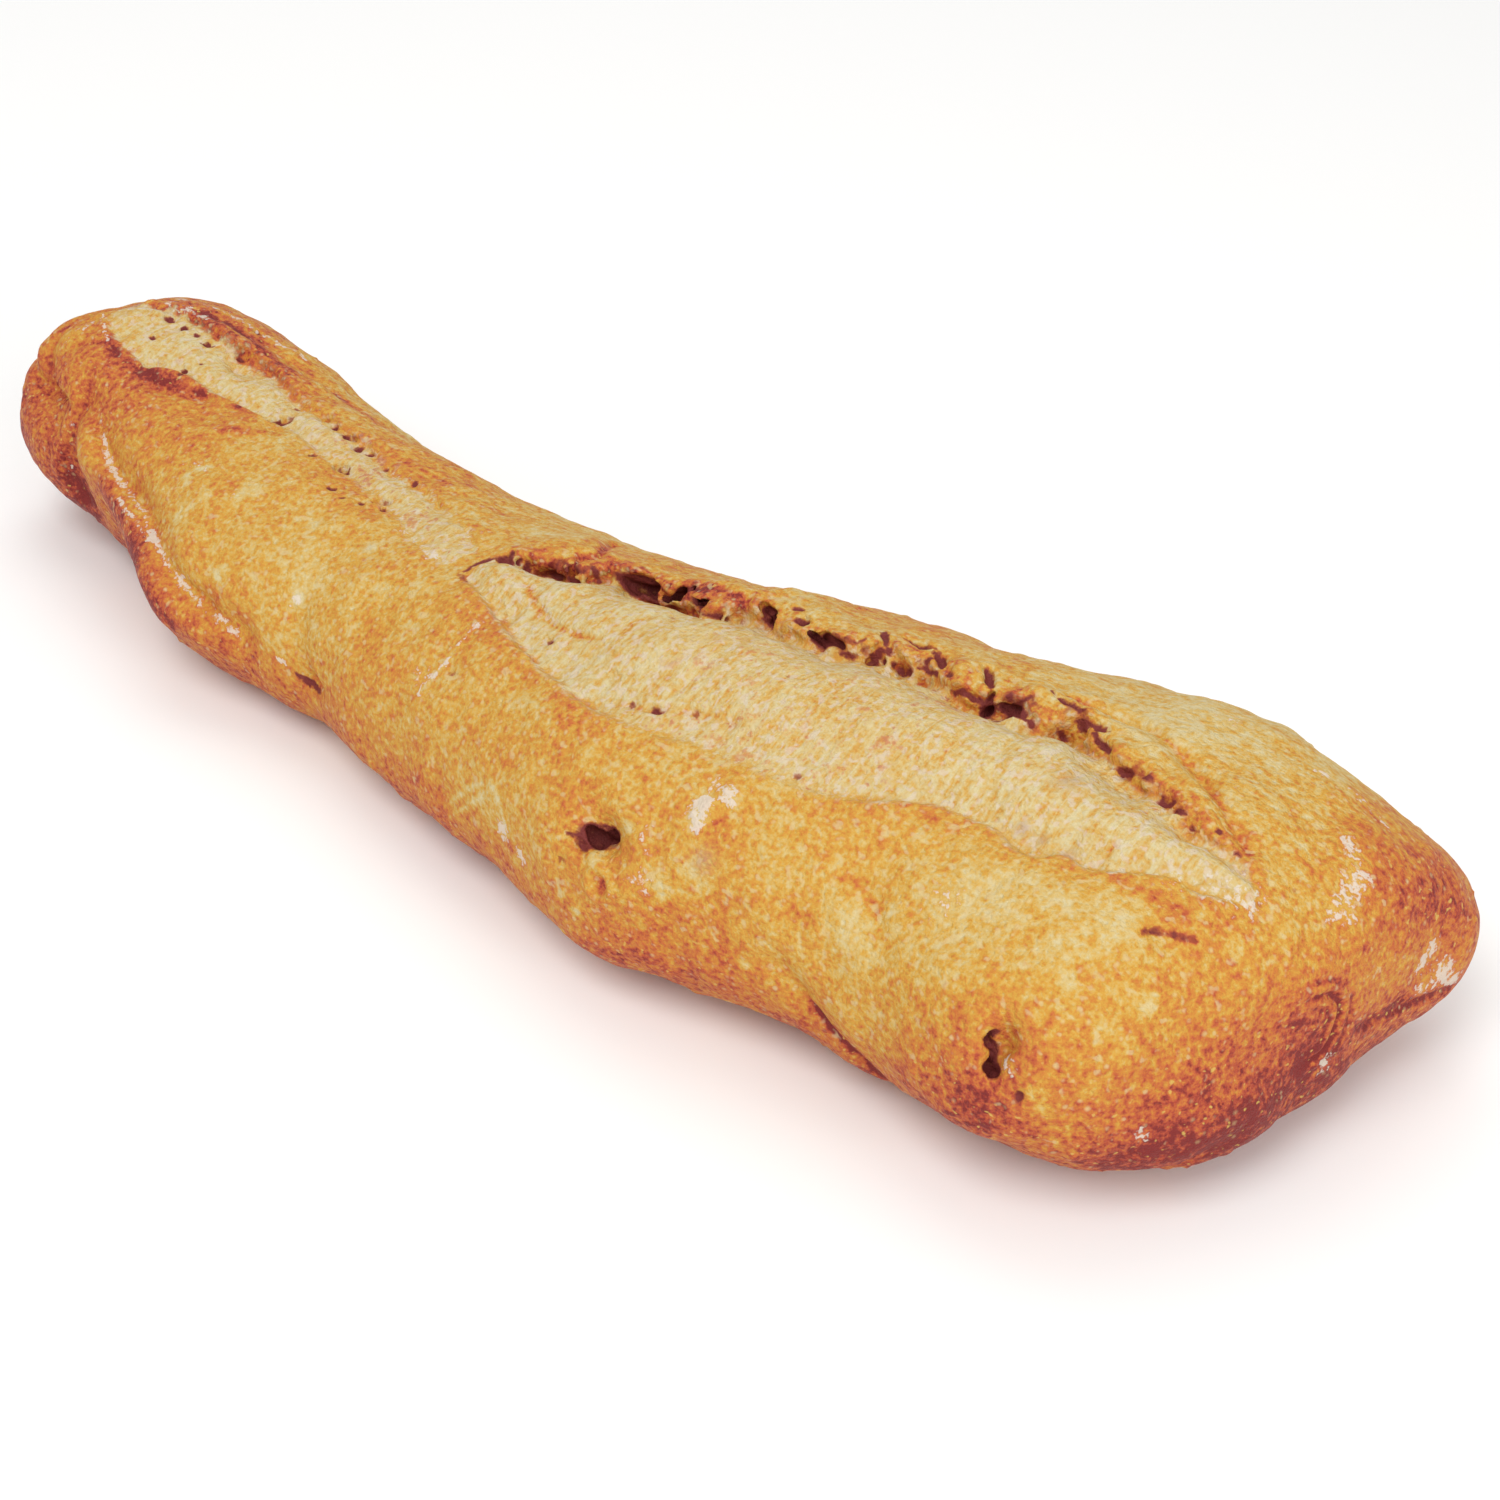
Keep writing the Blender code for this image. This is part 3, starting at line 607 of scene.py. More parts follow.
# --- lumpy solids for hollows and crumbs ---------------------------------------------------
def round_ball():
    """The ball of radius 1 that every lumpy one is copied from."""
    bpy.ops.mesh.primitive_ico_sphere_add(subdivisions=3, radius=1.0)
    return bpy.context.object


def lumpy_ball(model, form):
    """A copy of the round ball, drawn out along a hollow's axes, with an uneven surface."""
    ball = bpy.data.objects.new("lump", model.data.copy())
    bpy.context.scene.collection.objects.link(ball)
    points = read_vectors(ball.data)
    uneven = lumps(points, 0.8, form.seed) + 0.5 * lumps(points, 0.35, form.seed + 3)
    points *= (1.0 + form.roughness * uneven)[:, None]
    write_points(ball.data, points @ (form.axes * form.halves[:, None]) + form.centre)
    return ball


def directions(normal, slant, lean):
    """Along the crust, across the hollow, and into it."""
    flat = Vector((1.0, 0.0, 0.0)) - normal * normal.x
    flat.normalize()
    side = normal.cross(flat)
    angle = math.radians(slant)
    run = flat * math.cos(angle) + side * math.sin(angle)
    over = normal.cross(run)
    tilt = math.radians(lean)
    into = over * math.sin(tilt) - normal * math.cos(tilt)
    return run, run.cross(into), into


class Hollow:
    """An uneven hollow in the crust, at a centre, with three axes and half lengths."""

    def __init__(self, axes, centre, halves, seed, roughness, press=0.0):
        self.axes = np.array([np.array(axis) for axis in axes])
        self.centre = np.array(centre)
        self.halves = np.array(halves)
        self.seed = seed
        self.roughness = roughness
        self.press = press

    def places(self, points):
        """Rows of the points close by, and their places along the hollow's axes."""
        away = points - self.centre
        rows = np.flatnonzero(np.linalg.norm(away, axis=1) < 1.6 * self.halves.max() + 3.0 * MM)
        return rows, away[rows] @ self.axes.T / self.halves

    def wall(self, points):
        """Rows of the points on the wall of a cut hollow, and how surely they lie on it."""
        rows, place = self.places(points)
        return rows, smooth_step((1.55 - np.linalg.norm(place, axis=1)) / 0.30)

    def dent(self, points):
        """Rows of the points in a pressed hollow, and how fully they lie in it."""
        rows, place = self.places(points)
        uneven = 0.42 * lumps(points[rows], 0.0012, self.seed)
        return rows, smooth_step((1.15 - np.hypot(place[:, 0], place[:, 1]) - uneven) / 0.55)


def one_hollow(plain, number, x, turn, length, breadth, depth, slant, lean, roughness, out):
    """A pressed hollow, or a cut one, which reaches out past the crust."""
    hit, normal = plain.spot(x, turn)
    if depth < CUT_DEPTH:
        half_breadth = breadth * (TORN_PRESS_BREADTH if lean else PRESS_BREADTH)
        halves = (length * PRESS_LENGTH * MM, half_breadth * MM, breadth * 0.6 * MM)
        axes = directions(normal, slant, 0.0)
        return Hollow(axes, hit, halves, number, roughness, depth * PRESSED_SHARE)
    axes = directions(normal, slant, lean)
    deep = 0.32 * depth + 0.5 * out
    centre = hit - axes[2] * (out - deep) * MM
    halves = (length * CUT_LENGTH * MM, breadth * CUT_BREADTH * MM, (deep + 0.25 * depth) * MM)
    return Hollow(axes, centre, halves, number, roughness)


def all_hollows(plain):
    """The torn hollows, the round hole and the slits."""
    rows = [place + RIDGE_MANNER for place in RIDGE_HOLLOWS]
    rows += [place + CRUST_MANNER for place in CRUST_HOLLOWS]
    rows += [place + HOLE_MANNER for place in OPEN_HOLE]
    hollows = [one_hollow(plain, number, *row) for number, row in enumerate(rows)]
    for path, widths, depth in SLITS:
        hollows += slit_hollows(plain, path, widths, depth)
    return hollows


def dent_relief(points, hollows):
    """How deep in mm the pressed hollows sink every point."""
    total = np.zeros(len(points))
    for hollow in hollows:
        if hollow.press:
            rows, share = hollow.dent(points)
            total[rows] = np.maximum(total[rows], share * hollow.press)
    return total


def slit_hollows(plain, path, widths, depth):
    """Overlapping hollows along a slit, deep and narrow."""
    hollows = []
    for number, (x, turn) in enumerate(smooth_path(path, SLIT_STEPS + 1)):
        hit, normal = plain.spot(x, turn)
        half = np.interp(number / SLIT_STEPS, (0.0, 0.5, 1.0), widths)
        halves = (half * 1.2 * MM, half * MM, depth * 0.7 * MM)
        axes = directions(normal, 20.0 * number, 0.0)
        hollows.append(Hollow(axes, hit - normal * depth * 0.2 * MM, halves, number + 500, 0.2))
    return hollows


def hollow_cutters(hollows):
    """One object that fills every hollow."""
    model = round_ball()
    balls = [lumpy_ball(model, hollow) for hollow in hollows if not hollow.press]
    bpy.data.objects.remove(model)
    return join(balls, "hollows")


def join(pieces, name):
    """Makes one object of several, under a new name."""
    bpy.ops.object.select_all(action="DESELECT")
    for piece in pieces:
        piece.select_set(True)
    bpy.context.view_layer.objects.active = pieces[0]
    bpy.ops.object.join()
    pieces[0].name = name
    return pieces[0]


def crumbs(plain):
    """Shreds and crumbs along the torn ridges, part of them bridging the trench."""
    draw = np.random.default_rng(CRUMB_SEED)
    model = round_ball()
    balls = []
    for burst, count in ((NEAR_BURST, NEAR_CRUMBS), (FAR_BURST, FAR_CRUMBS)):
        rows = smooth_path(burst["ridge"], 200)
        for number in range(count):
            x, turn = rows[draw.integers(8, 192)]
            turn += draw.normal(0.0, 3.4) - 2.0
            hit, normal = plain.spot(x + draw.uniform(-0.6, 0.6), turn)
            axes = directions(normal, draw.uniform(-80, 80), draw.uniform(-30, 60))
            size = draw.uniform(*CRUMB_SIZES)
            halves = np.array((size * draw.uniform(1.0, 1.9), size * draw.uniform(0.6, 1.0),
                               size * draw.uniform(0.6, 1.0))) * MM
            lift = draw.uniform(-1.6, 0.4) * MM
            form = Hollow(axes, hit + normal * lift, halves, number + 200, 0.3)
            balls.append(lumpy_ball(model, form))
    bpy.data.objects.remove(model)
    return join(balls, "crumbs")


# --- the fine crust ----------------------------------------------------------------------
def weight(piece, name, weights):
    """Stores a weight for each vertex, in ten steps."""
    group = piece.vertex_groups.new(name=name)
    steps = np.round(np.clip(weights, 0.0, 1.0) * 10).astype(int)
    for step in range(1, 11):
        rows = np.flatnonzero(steps == step)
        if len(rows):
            group.add(rows.tolist(), step / 10.0, "REPLACE")


def torn_weight(points):
    """1 where the solid's coarse relief has to go, 0 on plain crust."""
    total = np.zeros(len(points))
    for burst in (NEAR_BURST, FAR_BURST):
        past_lip, before_ridge, _, fade = burst_places(points, burst, np.zeros(len(points)))
        inside = smooth_step((past_lip + 6.0) / 4.0) * smooth_step((before_ridge + 9.0) / 4.0)
        total = np.maximum(total, inside * (fade > 0.0))
    from_hole = np.linalg.norm(points / MM - np.array(HOLE_PLACE), axis=1)
    return np.maximum(total, smooth_step((11.0 - from_hole) / 3.0))


def swell_relief(points):
    """The soft swells and sags of the whole form, in mm."""
    total = np.zeros(len(points))
    for x, y, z, amount in SWELLS:
        away = np.linalg.norm(points / MM - np.array((x, y, z)), axis=1) / SWELL_REACH
        total += amount * np.exp(-away ** 2)
    return total


def plain_loaf():
    """The solid's form without facets and coarse relief, as an even mesh."""
    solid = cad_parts["loaf"]
    crust = bpy.data.objects.new("loaf_crust", solid.data.copy())
    bpy.context.scene.collection.objects.link(crust)
    pick_only(crust)
    bpy.ops.object.mode_set(mode="EDIT")
    bpy.ops.mesh.select_all(action="SELECT")
    bpy.ops.mesh.remove_doubles(threshold=1e-6)
    bpy.ops.object.mode_set(mode="OBJECT")
    add_modifier(crust, "REMESH", mode="VOXEL", voxel_size=PLAIN_VOXEL)
    points = read_vectors(crust.data)
    weight(crust, "torn", torn_weight(points))
    add_modifier(crust, "SMOOTH", factor=0.5, iterations=FORM_SMOOTHING)
    add_modifier(crust, "SMOOTH", factor=0.5, iterations=TORN_SMOOTHING, vertex_group="torn")
    points = read_vectors(crust.data)
    normals = read_vectors(crust.data, "normal")
    moves = swell_relief(points) * smooth_step(points[:, 2] / CALM_HEIGHT) * MM
    points += normals * moves[:, None]
    low = smooth_step(1.0 - points[:, 2] / PRESS_HEIGHT)
    points[:, 2] -= PRESS_DEPTH * low
    write_points(crust.data, points)
    crust.vertex_groups.clear()
    return crust


def fine_loaf():
    """The dressed crust, its plain form, and the hollows in it."""
    crust = plain_loaf()
    plain = Plain(crust.data)
    hollows = all_hollows(plain)
    cutters = hollow_cutters(hollows)
    add_modifier(cutters, "REMESH", mode="VOXEL", voxel_size=CUTTER_VOXEL)
    shreds = crumbs(plain)
    add_modifier(crust, "SUBSURF", levels=1, render_levels=1)
    points = read_vectors(crust.data)
    normals = read_vectors(crust.data, "normal")
    calm = smooth_step(points[:, 2] / CALM_HEIGHT)
    moves = (crust_relief(points, plain) - dent_relief(points, hollows)) * calm * MM
    write_points(crust.data, points + normals * moves[:, None])
    add_modifier(crust, "BOOLEAN", operation="DIFFERENCE", solver="MANIFOLD", object=cutters)
    bpy.data.objects.remove(cutters)
    crust = join([crust, shreds], "loaf_crust")
    add_modifier(crust, "REMESH", mode="VOXEL", voxel_size=FINE_VOXEL)
    add_modifier(crust, "SMOOTH", factor=0.5, iterations=FINE_SMOOTHING)
    points = read_vectors(crust.data)
    normals = read_vectors(crust.data, "normal")
    calm = smooth_step(points[:, 2] / BLISTER_CALM_HEIGHT)
    moves = blister_relief(points) * calm * MM
    write_points(crust.data, points + normals * moves[:, None])
    keep_largest(crust)
    add_modifier(crust, "DECIMATE", ratio=TRIANGLES / (2.0 * len(crust.data.polygons)))
    flat_base(crust)
    return crust, plain, hollows


def keep_largest(crust):
    """Drops loose crumbs and shut bubbles, so that one closed skin is left."""
    mesh = crust.data
    first, second = edge_ends(mesh)
    label = np.arange(len(mesh.vertices))
    while True:
        least = np.minimum(label[first], label[second])
        before = label.copy()
        np.minimum.at(label, first, least)
        np.minimum.at(label, second, least)
        label = label[label]
        if np.array_equal(before, label):
            break
    main = np.bincount(label).argmax()
    pick_only(crust)
    mesh.vertices.foreach_set("select", label != main)
    mesh.update()
    bpy.ops.object.mode_set(mode="EDIT")
    bpy.ops.mesh.delete(type="VERT")
    bpy.ops.object.mode_set(mode="OBJECT")


def flat_base(crust):
    """Cuts the underside to the plane that the loaf stands on."""
    pick_only(crust)
    bpy.ops.object.mode_set(mode="EDIT")
    bpy.ops.mesh.select_all(action="SELECT")
    bpy.ops.mesh.bisect(plane_co=(0.0, 0.0, BASE_HEIGHT), plane_no=(0.0, 0.0, 1.0),
                        use_fill=True, clear_inner=True)
    bpy.ops.object.mode_set(mode="OBJECT")
    bpy.ops.object.mode_set(mode="EDIT")
    bpy.ops.mesh.select_all(action="SELECT")
    bpy.ops.mesh.quads_convert_to_tris()
    bpy.ops.mesh.normals_make_consistent(inside=False)
    bpy.ops.object.mode_set(mode="OBJECT")
    crust.data.shade_smooth()


# --- how dark each place is baked, with spots of painted shade, and where flour lies --------
BAKE_LEVEL = 0.40
EDGE_BAKE = 0.33               # how much darker the crust gets from the edge's top downwards
EDGE_TOP = 0.033
EDGE_HEIGHT = 0.028
END_BAKE = 0.16                # and towards each end, from where the end starts
HIGH_END_START = 0.140
HIGH_END_LENGTH = 0.026
LOW_END_START = -0.085
LOW_END_LENGTH = 0.060
WIDE_SPREAD = 40               # rounds of averaging that tell a deep place from those around
CLOSE_SPREAD = 5
# x, turn, reach in mm, how much darker (below 0 paler)
BAKE_AND_SHADE_SPOTS = (
    (161, 50, 9, 0.18), (156, 84, 12, 0.12), (146, 80, 16, 0.10), (168, -30, 14, 0.10),
    (169, -70, 12, 0.10), (160, 125, 12, 0.14), (-160, 40, 20, 0.08), (-163, 80, 12, 0.10),
    # the last spot in the next line, (-126, 12), is painted shadow under the far lip
    (-137, 95, 8, 0.12), (-110, -40, 12, 0.05), (-140, -40, 12, 0.04), (-126, 12, 5, 0.10),
    (-104, 29, 12, 0.10), (-53, -23, 10, 0.06), (-152, -30, 12, -0.07), (72, -30, 10, -0.08),
    (50.2, 79.2, 1.4, -0.5), (-110, 40, 14, 0.05), (-152, 10, 8, -0.12), (-96, 82, 6, 0.26),
    (-8, 90, 10, -0.08), (112, -32, 10, -0.06),
    (-120, -50, 12, 0.10), (-100, -50, 12, 0.10), (-80, -45, 12, 0.09), (-60, -40, 12, 0.08),
    (-40, -40, 12, 0.06), (10, -45, 14, 0.05), (40, -45, 14, 0.06), (70, -48, 14, 0.05),
    (168, 38, 30, 9, 0.10), (160, 42, 38, 9, 0.10), (150, 44, 42, 8, 0.07), (-88, 82, 8, 0.06),
    (121, 86, 14, 0.26), (133, 81, 10, 0.10), (63, 91, 12, 0.10), (70, 80, 9, 0.06),
    (94, 60, 14, 0.06), (164, 27, 38, 8, 0.11), (167, 31, 31, 7, 0.11), (166, 21, 35, 6, 0.05),
    (46, 75, 8, 0.10), (118, 54, 17, -0.20), (118, -44, 24, -0.14), (92, 58, 20, -0.08),
    # (-134, 30) in the next line is painted shade beside the far lip
    (132, 86, 6, 0.20), (60, 62, 16, -0.03), (-134, 30, 16, 0.10), (42, 68, 10, 0.05),
    # (53.3, 82.3) in the next line is painted shade inside the fallen blister's ring
    (-137, 98, 5, 0.14), (28.4, 88, 0.9, 0.5), (53.3, 82.3, 1.0, 0.55), (98, 70, 4.5, -0.16),
    (161.7, -4.1, 25.6, 0.9, 0.4), (160.8, -6.6, 29.8, 0.8, 0.4), (162.3, -1.9, 22.4, 0.9, 0.4),
    (160.9, -6.5, 23.6, 0.8, 0.35), (70.9, 67, 2.0, 0.12), (163.3, 7.4, 37, 0.9, 0.5),
    (-49.6, 70, 1.5, -0.45), (-42, 43, 1.3, -0.4), (-70, 74, 1.2, -0.5), (-78.3, 48, 1.6, -0.35),
    (-85.4, 54, 1.8, -0.35), (-77.8, 41, 2.0, -0.3), (-58.1, 45, 1.5, -0.35), (-88, 63, 2.2, -0.35),
    (54.1, 71, 1.0, -0.5), (44.1, 88, 1.0, -0.45), (47.9, 90, 1.0, -0.45), (42.7, 98, 0.9, -0.5),
    (67.9, 87, 1.1, -0.5), (81, 87, 1.1, -0.5), (63.4, 77, 2.0, -0.35), (64.8, 79, 1.6, -0.35),
    (69, 73, 2.0, -0.3), (72, 74, 1.4, -0.35), (137.5, 46, 2.4, -0.3), (147.2, 59, 1.6, -0.45),
    (143.9, 66, 1.8, -0.3),
    (137.2, 60, 1.6, -0.3), (132, 56, 2.0, -0.2), (140.3, 84, 1.4, -0.4), (138.4, 80, 1.1, -0.4),
)
# darker, redder lines: browning along cracks and tears, and painted shade in creases, grooves and under
# the far lip
TOAST_AND_SHADE_LINES = (
    (CORNER_TEAR, 1.0, 0.60),
    (((22, -6), (28, -6), (35, -4)), 1.6, 0.35),
    (FLAP_GROOVE, 0.8, 0.40),
    (BLOOM_CREASE, 0.7, 0.40),
    (LIP_CREASE, 0.9, 0.28),
    (FAR_GROOVE, 1.6, 0.16),
    (((-148, -34), (-130, -38), (-112, -40), (-90, -38)), 1.2, 0.12),
    (KNOB_FOLD, 1.6, 0.16),
    # painted shade in the low fold's crease, with some browning
    (((93, 91), (96.8, 96), (100.2, 99), (104.5, 104), (108, 107)), 0.7, 0.75),
    (BROAD_SLIT, 0.55, 0.50),
    (((-12, 22), (-6, 19), (0, 15)), 0.6, 0.25),
    (FLANK_CREASE, 1.4, 0.20),
    (((66.8, 66), (68.5, 65), (69.8, 62)), 0.6, 0.40),
    (LONG_SCRATCH, 0.4, -0.35),
    (SHORT_SCRATCH, 0.4, -0.30),
    (CROSS_SCRATCH, 0.4, -0.35),
    # painted highlight: the fallen blister's rim is drawn paler so that the ring reads
    (((49.2, 84), (50.4, 81), (53.1, 80), (55.5, 81), (54.7, 84)), 0.5, -0.30),
    (((-154, -20), (-158, 0), (-158, 20), (-154, 34)), 1.2, 0.16),
    # painted shadow under the far lip, in three pieces
    (((-130, 9), (-123.3, 9), (-117.8, 7), (-113.5, 3)), 1.6, 0.32),
    (((-102.8, 0), (-99, 0)), 1.0, 0.28),
    (((-98, 19), (-93, 12), (-88, 6)), 1.2, 0.26),
    (((-138, -35), (-130, -35), (-123, -38), (-115, -38), (-107, -39)), 0.8, 0.28),
    (((-97, -48), (-91, -49), (-81, -42), (-75, -45)), 1.2, 0.30),
    (TIP_CREASE, 0.8, 0.30),
    (((-91.3, 42), (-94.5, 49), (-92.3, 54)), 0.8, -0.45),
    (((161, -6, 19.8), (160, -10, 17.7), (159, -17, 16.7), (158, -23, 14.7), (154.6, -30, 14),
      (148, -37, 12)), 3.6, 0.14),
    (((132.8, 36), (137, 36), (140.8, 35.5), (143.6, 36)), 1.8, 0.20),
    (END_SEAM, 0.9, 0.30),
    (END_WRINKLE, 0.9, 0.30),
    (((-165, -6, 34), (-160, -8, 34.8), (-154.6, -7.4, 33.3), (-147, -10.3, 34.6)), 1.0, 0.20),
    (((-118, 75), (-104, 80), (-92, 86), (-80, 92)), 3.5, 0.27),
    (((147, 29, 47), (154, 28, 44.8), (160, 28, 41.4)), 0.6, 0.28),
)
# greyish stains on the pale dough: x, turn, reach, amount
STAINS = (
    (115.4, 18, 2.6, 0.7), (113.9, 35, 1.2, 0.8), (117.9, 35, 0.9, 0.7), (122.9, 35, 1.2, 0.7),
    (70.2, 70, 2.2, 0.5), (-42.9, 43, 1.0, 0.3), (131.3, 18, 1.4, 0.5),
)
FLOUR_SPOTS = (
    (152.4, 17.7, 46.8, 1.4, 0.85), (154.8, 15.8, 46.0, 1.8, 0.90), (157.6, 12.4, 44.5, 2.4, 1.00),
    (158.3, 8.5, 43.5, 1.8, 0.80), (157.8, 5.0, 42.9, 1.7, 0.80), (160.2, 7.2, 41.6, 1.6, 0.70),
    (166.5, 24.7, 28.7, 1.7, 1.0), (166.3, 22.5, 26.1, 1.8, 1.1), (167.6, 27.7, 22.2, 2.4, 1.2),
    (168.0, 30.7, 18.7, 2.0, 1.1), (166.7, 23.3, 20.7, 1.8, 1.0), (65.8, 64, 2.1, 1.4),
    (65.6, 60.5, 1.7, 1.3), (68.5, 57, 1.6, 1.0), (70.3, 58.5, 1.3, 0.9), (64.8, 56.5, 1.1, 0.8),
    (151.5, 91, 1.4, 1.1), (55.3, 82, 1.1, 0.8), (133.6, 77.5, 1.8, 0.9), (-3.2, 50.5, 1.5, 0.9),
    (60, 78, 4.0, 0.28), (58, 70, 4.0, 0.26), (112, 57, 6.0, 0.26), (-8, 68, 5.0, 0.25),
    (146, 20, 5.0, 0.42), (149.5, 19, 2.6, 0.35), (139, 29, 4.0, 0.34), (163, 118, 2.2, 0.9),
    (25.8, 86, 2.0, 1.2), (31.5, 88, 1.5, 1.1), (-28, 34, 1.8, 0.5), (-49.6, 70, 1.2, 0.6),
    (122, -40, 3.0, 0.35),
)
FLOUR_LINES = (
    (((-131, 44), (-125.4, 55), (-118.6, 65), (-111, 68), (-102, 71), (-94, 76)), 0.75, 1.05),
    (((-94, 76), (-89, 77), (-84, 79), (-77, 83), (-68, 87), (-62, 90)), 0.85, 0.9),
    (TIP_RIDGE, 0.55, 0.75),
    (KNOB_RIDGE, 0.55, 0.8),
    (((-148.8, -18), (-143, -26), (-138, -31), (-131.6, -34)), 0.9, 0.75),
    (((-50.3, 73), (-49.3, 69)), 0.7, 0.85), (((-49.8, 90), (-47.5, 95)), 0.5, 0.85),
    (((-79.5, 52), (-80, 45), (-78.7, 39)), 0.8, 0.6), (((-97.5, 45), (-91.7, 45)), 0.8, 0.6),
    (((96, -14), (104, -14), (113, -15), (121, -12), (127, -8), (133, -1)), 0.8, 0.45),
    (((-113, 71.5), (-108, 73), (-103, 74), (-97.5, 76)), 0.5, 0.8),
    (((-138.2, 49), (-138.1, 65), (-140, 86)), 0.7, 0.85),
    (WAIST_RIDGE, 0.45, 0.8),
    (((-148, -38), (-130, -44), (-112, -52)), 0.9, 0.7),
    (((140, -41), (148.7, -45.5), (154.8, -47)), 0.7, 0.75),
    (((-150, -52), (-140, -60), (-128, -66)), 1.6, 0.6),
    (((-145, -28), (-142, -33), (-132, -32)), 0.8, 0.85),
    (((-152.4, -12), (-152.4, 4), (-153.4, 16)), 0.8, 0.6),
    (((-41, 28), (-32, 33), (-27, 35)), 0.9, 0.45),
)


def spot_total(points, plain, spots):
    """Sum of soft round spots. Each has a place, a reach in mm and an amount."""
    total = np.zeros(len(points))
    for *place, reach, amount in spots:
        centre = np.array(plain.spot(*place)[0])
        away = np.linalg.norm(points - centre, axis=1) / (reach * MM)
        total += amount * np.exp(-away ** 2)
    return total


def bake_and_shade_of(points, plain):
    """0 where the crust is palest, 1 where it is nearly black; a few spots in it are painted shade."""
    edge = smooth_step((EDGE_TOP - points[:, 2]) / EDGE_HEIGHT)
    high_end = smooth_step((points[:, 0] - HIGH_END_START) / HIGH_END_LENGTH)
    low_end = smooth_step((LOW_END_START - points[:, 0]) / LOW_END_LENGTH)
    level = BAKE_LEVEL + EDGE_BAKE * edge + END_BAKE * high_end + END_BAKE * low_end
    level += 0.07 * lumps(points, 0.022, 80) + 0.04 * lumps(points, 0.009, 81)
    return level + spot_total(points, plain, BAKE_AND_SHADE_SPOTS)


def flour_of(points, plain):
    """How much dried flour or dough lies on the crust."""
    return spot_total(points, plain, FLOUR_SPOTS) + line_total(points, plain, FLOUR_LINES)


def toast_and_shade_of(points, plain):
    """How much darker and redder the crust is along cracks, creases and the swirl's grooves: browning
    along the cracks, and painted shade in the creases, the grooves and under the far lip.
    """
    grooves = np.maximum(-swirl_waves(points, plain), 0.0)
    return line_total(points, plain, TOAST_AND_SHADE_LINES) + SWIRL_GROOVE_SHADE * grooves


def bloom_of(points):
    """What the material needs to know of the bursts: how far in mm a point lies inside one,
    how close to its torn ridge, whether on its flap, how softly its lip fades, and its cracks."""
    inside = np.full(len(points), -8.0)
    torn = np.zeros(len(points))
    flap = np.zeros(len(points))
    soft = np.zeros(len(points))
    cracks = np.zeros(len(points))
    rag = ragged(points)
    for burst in (NEAR_BURST, FAR_BURST):
        past_lip, before_ridge, _, fade = burst_places(points, burst, rag)
        shut = 8.0 * (1.0 - smooth_step(fade / 0.25))
        inside = np.maximum(inside, np.minimum(past_lip, before_ridge) - shut)
        reach = np.where(before_ridge > 0.0, 1.4, 2.8)
        edge = np.exp(-(before_ridge / reach) ** 2) * fade
        torn = np.maximum(torn, edge * along(points, burst["toast"]))
        cracks = np.maximum(cracks, crack_of(points, before_ridge, burst) * fade)
        soft = np.maximum(soft, (1.0 - along(points, burst["drop"]) / 1.2) * (fade > 0.0))
        flap = np.maximum(flap, smooth_step(-before_ridge / 3.0) * (fade > 0.0))
    return inside, torn, flap, soft, cracks


def spread(mesh, values, rounds):
    """Values averaged with their neighbours along the mesh's edges."""
    count = len(mesh.vertices)
    first, second = edge_ends(mesh)
    shares = np.bincount(first, minlength=count) + np.bincount(second, minlength=count)
    for _ in range(rounds):
        total = np.bincount(first, values[second], count)
        total += np.bincount(second, values[first], count)
        values = 0.5 * values + 0.5 * total / np.maximum(shares, 1)
    return values


def pit_of(points, hollows, height):
    """1 on the hollows' walls, which are darkened partly in their own colour and partly as painted
    shade. Cut ones are darkened only below the crust around, where shade falls.
    """
    total = np.zeros(len(points))
    for hollow in hollows:
        if hollow.press:
            rows, sure = hollow.dent(points)
            sure = sure ** 1.5 * smooth_step((hollow.press - 0.25) / 0.75)
        else:
            rows, sure = hollow.wall(points)
            sure = sure * smooth_step((0.35 - height[rows]) / 0.7)
        total[rows] = np.maximum(total[rows], sure)
    return total


def paint(crust, plain, hollows):
    """Stores what the crust's material reads, at every vertex."""
    mesh = crust.data
    points = read_vectors(mesh)
    inside, torn, flap, soft, cracks = bloom_of(points)
    height = plain.height(points) / MM
    fields = dict(
        # how dark the crust is baked, with a few spots of painted shade
        bake=bake_and_shade_of(points, plain), flour=flour_of(points, plain),
        # toast: browning, and painted shade in creases, grooves and under the far lip
        stain=spot_total(points, plain, STAINS), toast=toast_and_shade_of(points, plain),
        bloom=inside, torn=torn, flap=flap, soft=soft,
        # pit and cavity: the hollows' walls, cracks and dips, which the material darkens partly in
        # their own colour and partly as painted shade
        pit=np.maximum(pit_of(points, hollows, height), cracks),
        cavity=height - spread(mesh, height, WIDE_SPREAD),
        # proud: the fine relief, which the material paints paler on bumps and darker in dips, as
        # painted light and shade
        proud=height - spread(mesh, height, CLOSE_SPREAD),
    )
    for name, values in fields.items():
        layer = mesh.attributes.new(name, "FLOAT", "POINT")
        layer.data.foreach_set("value", values.astype(np.float32))


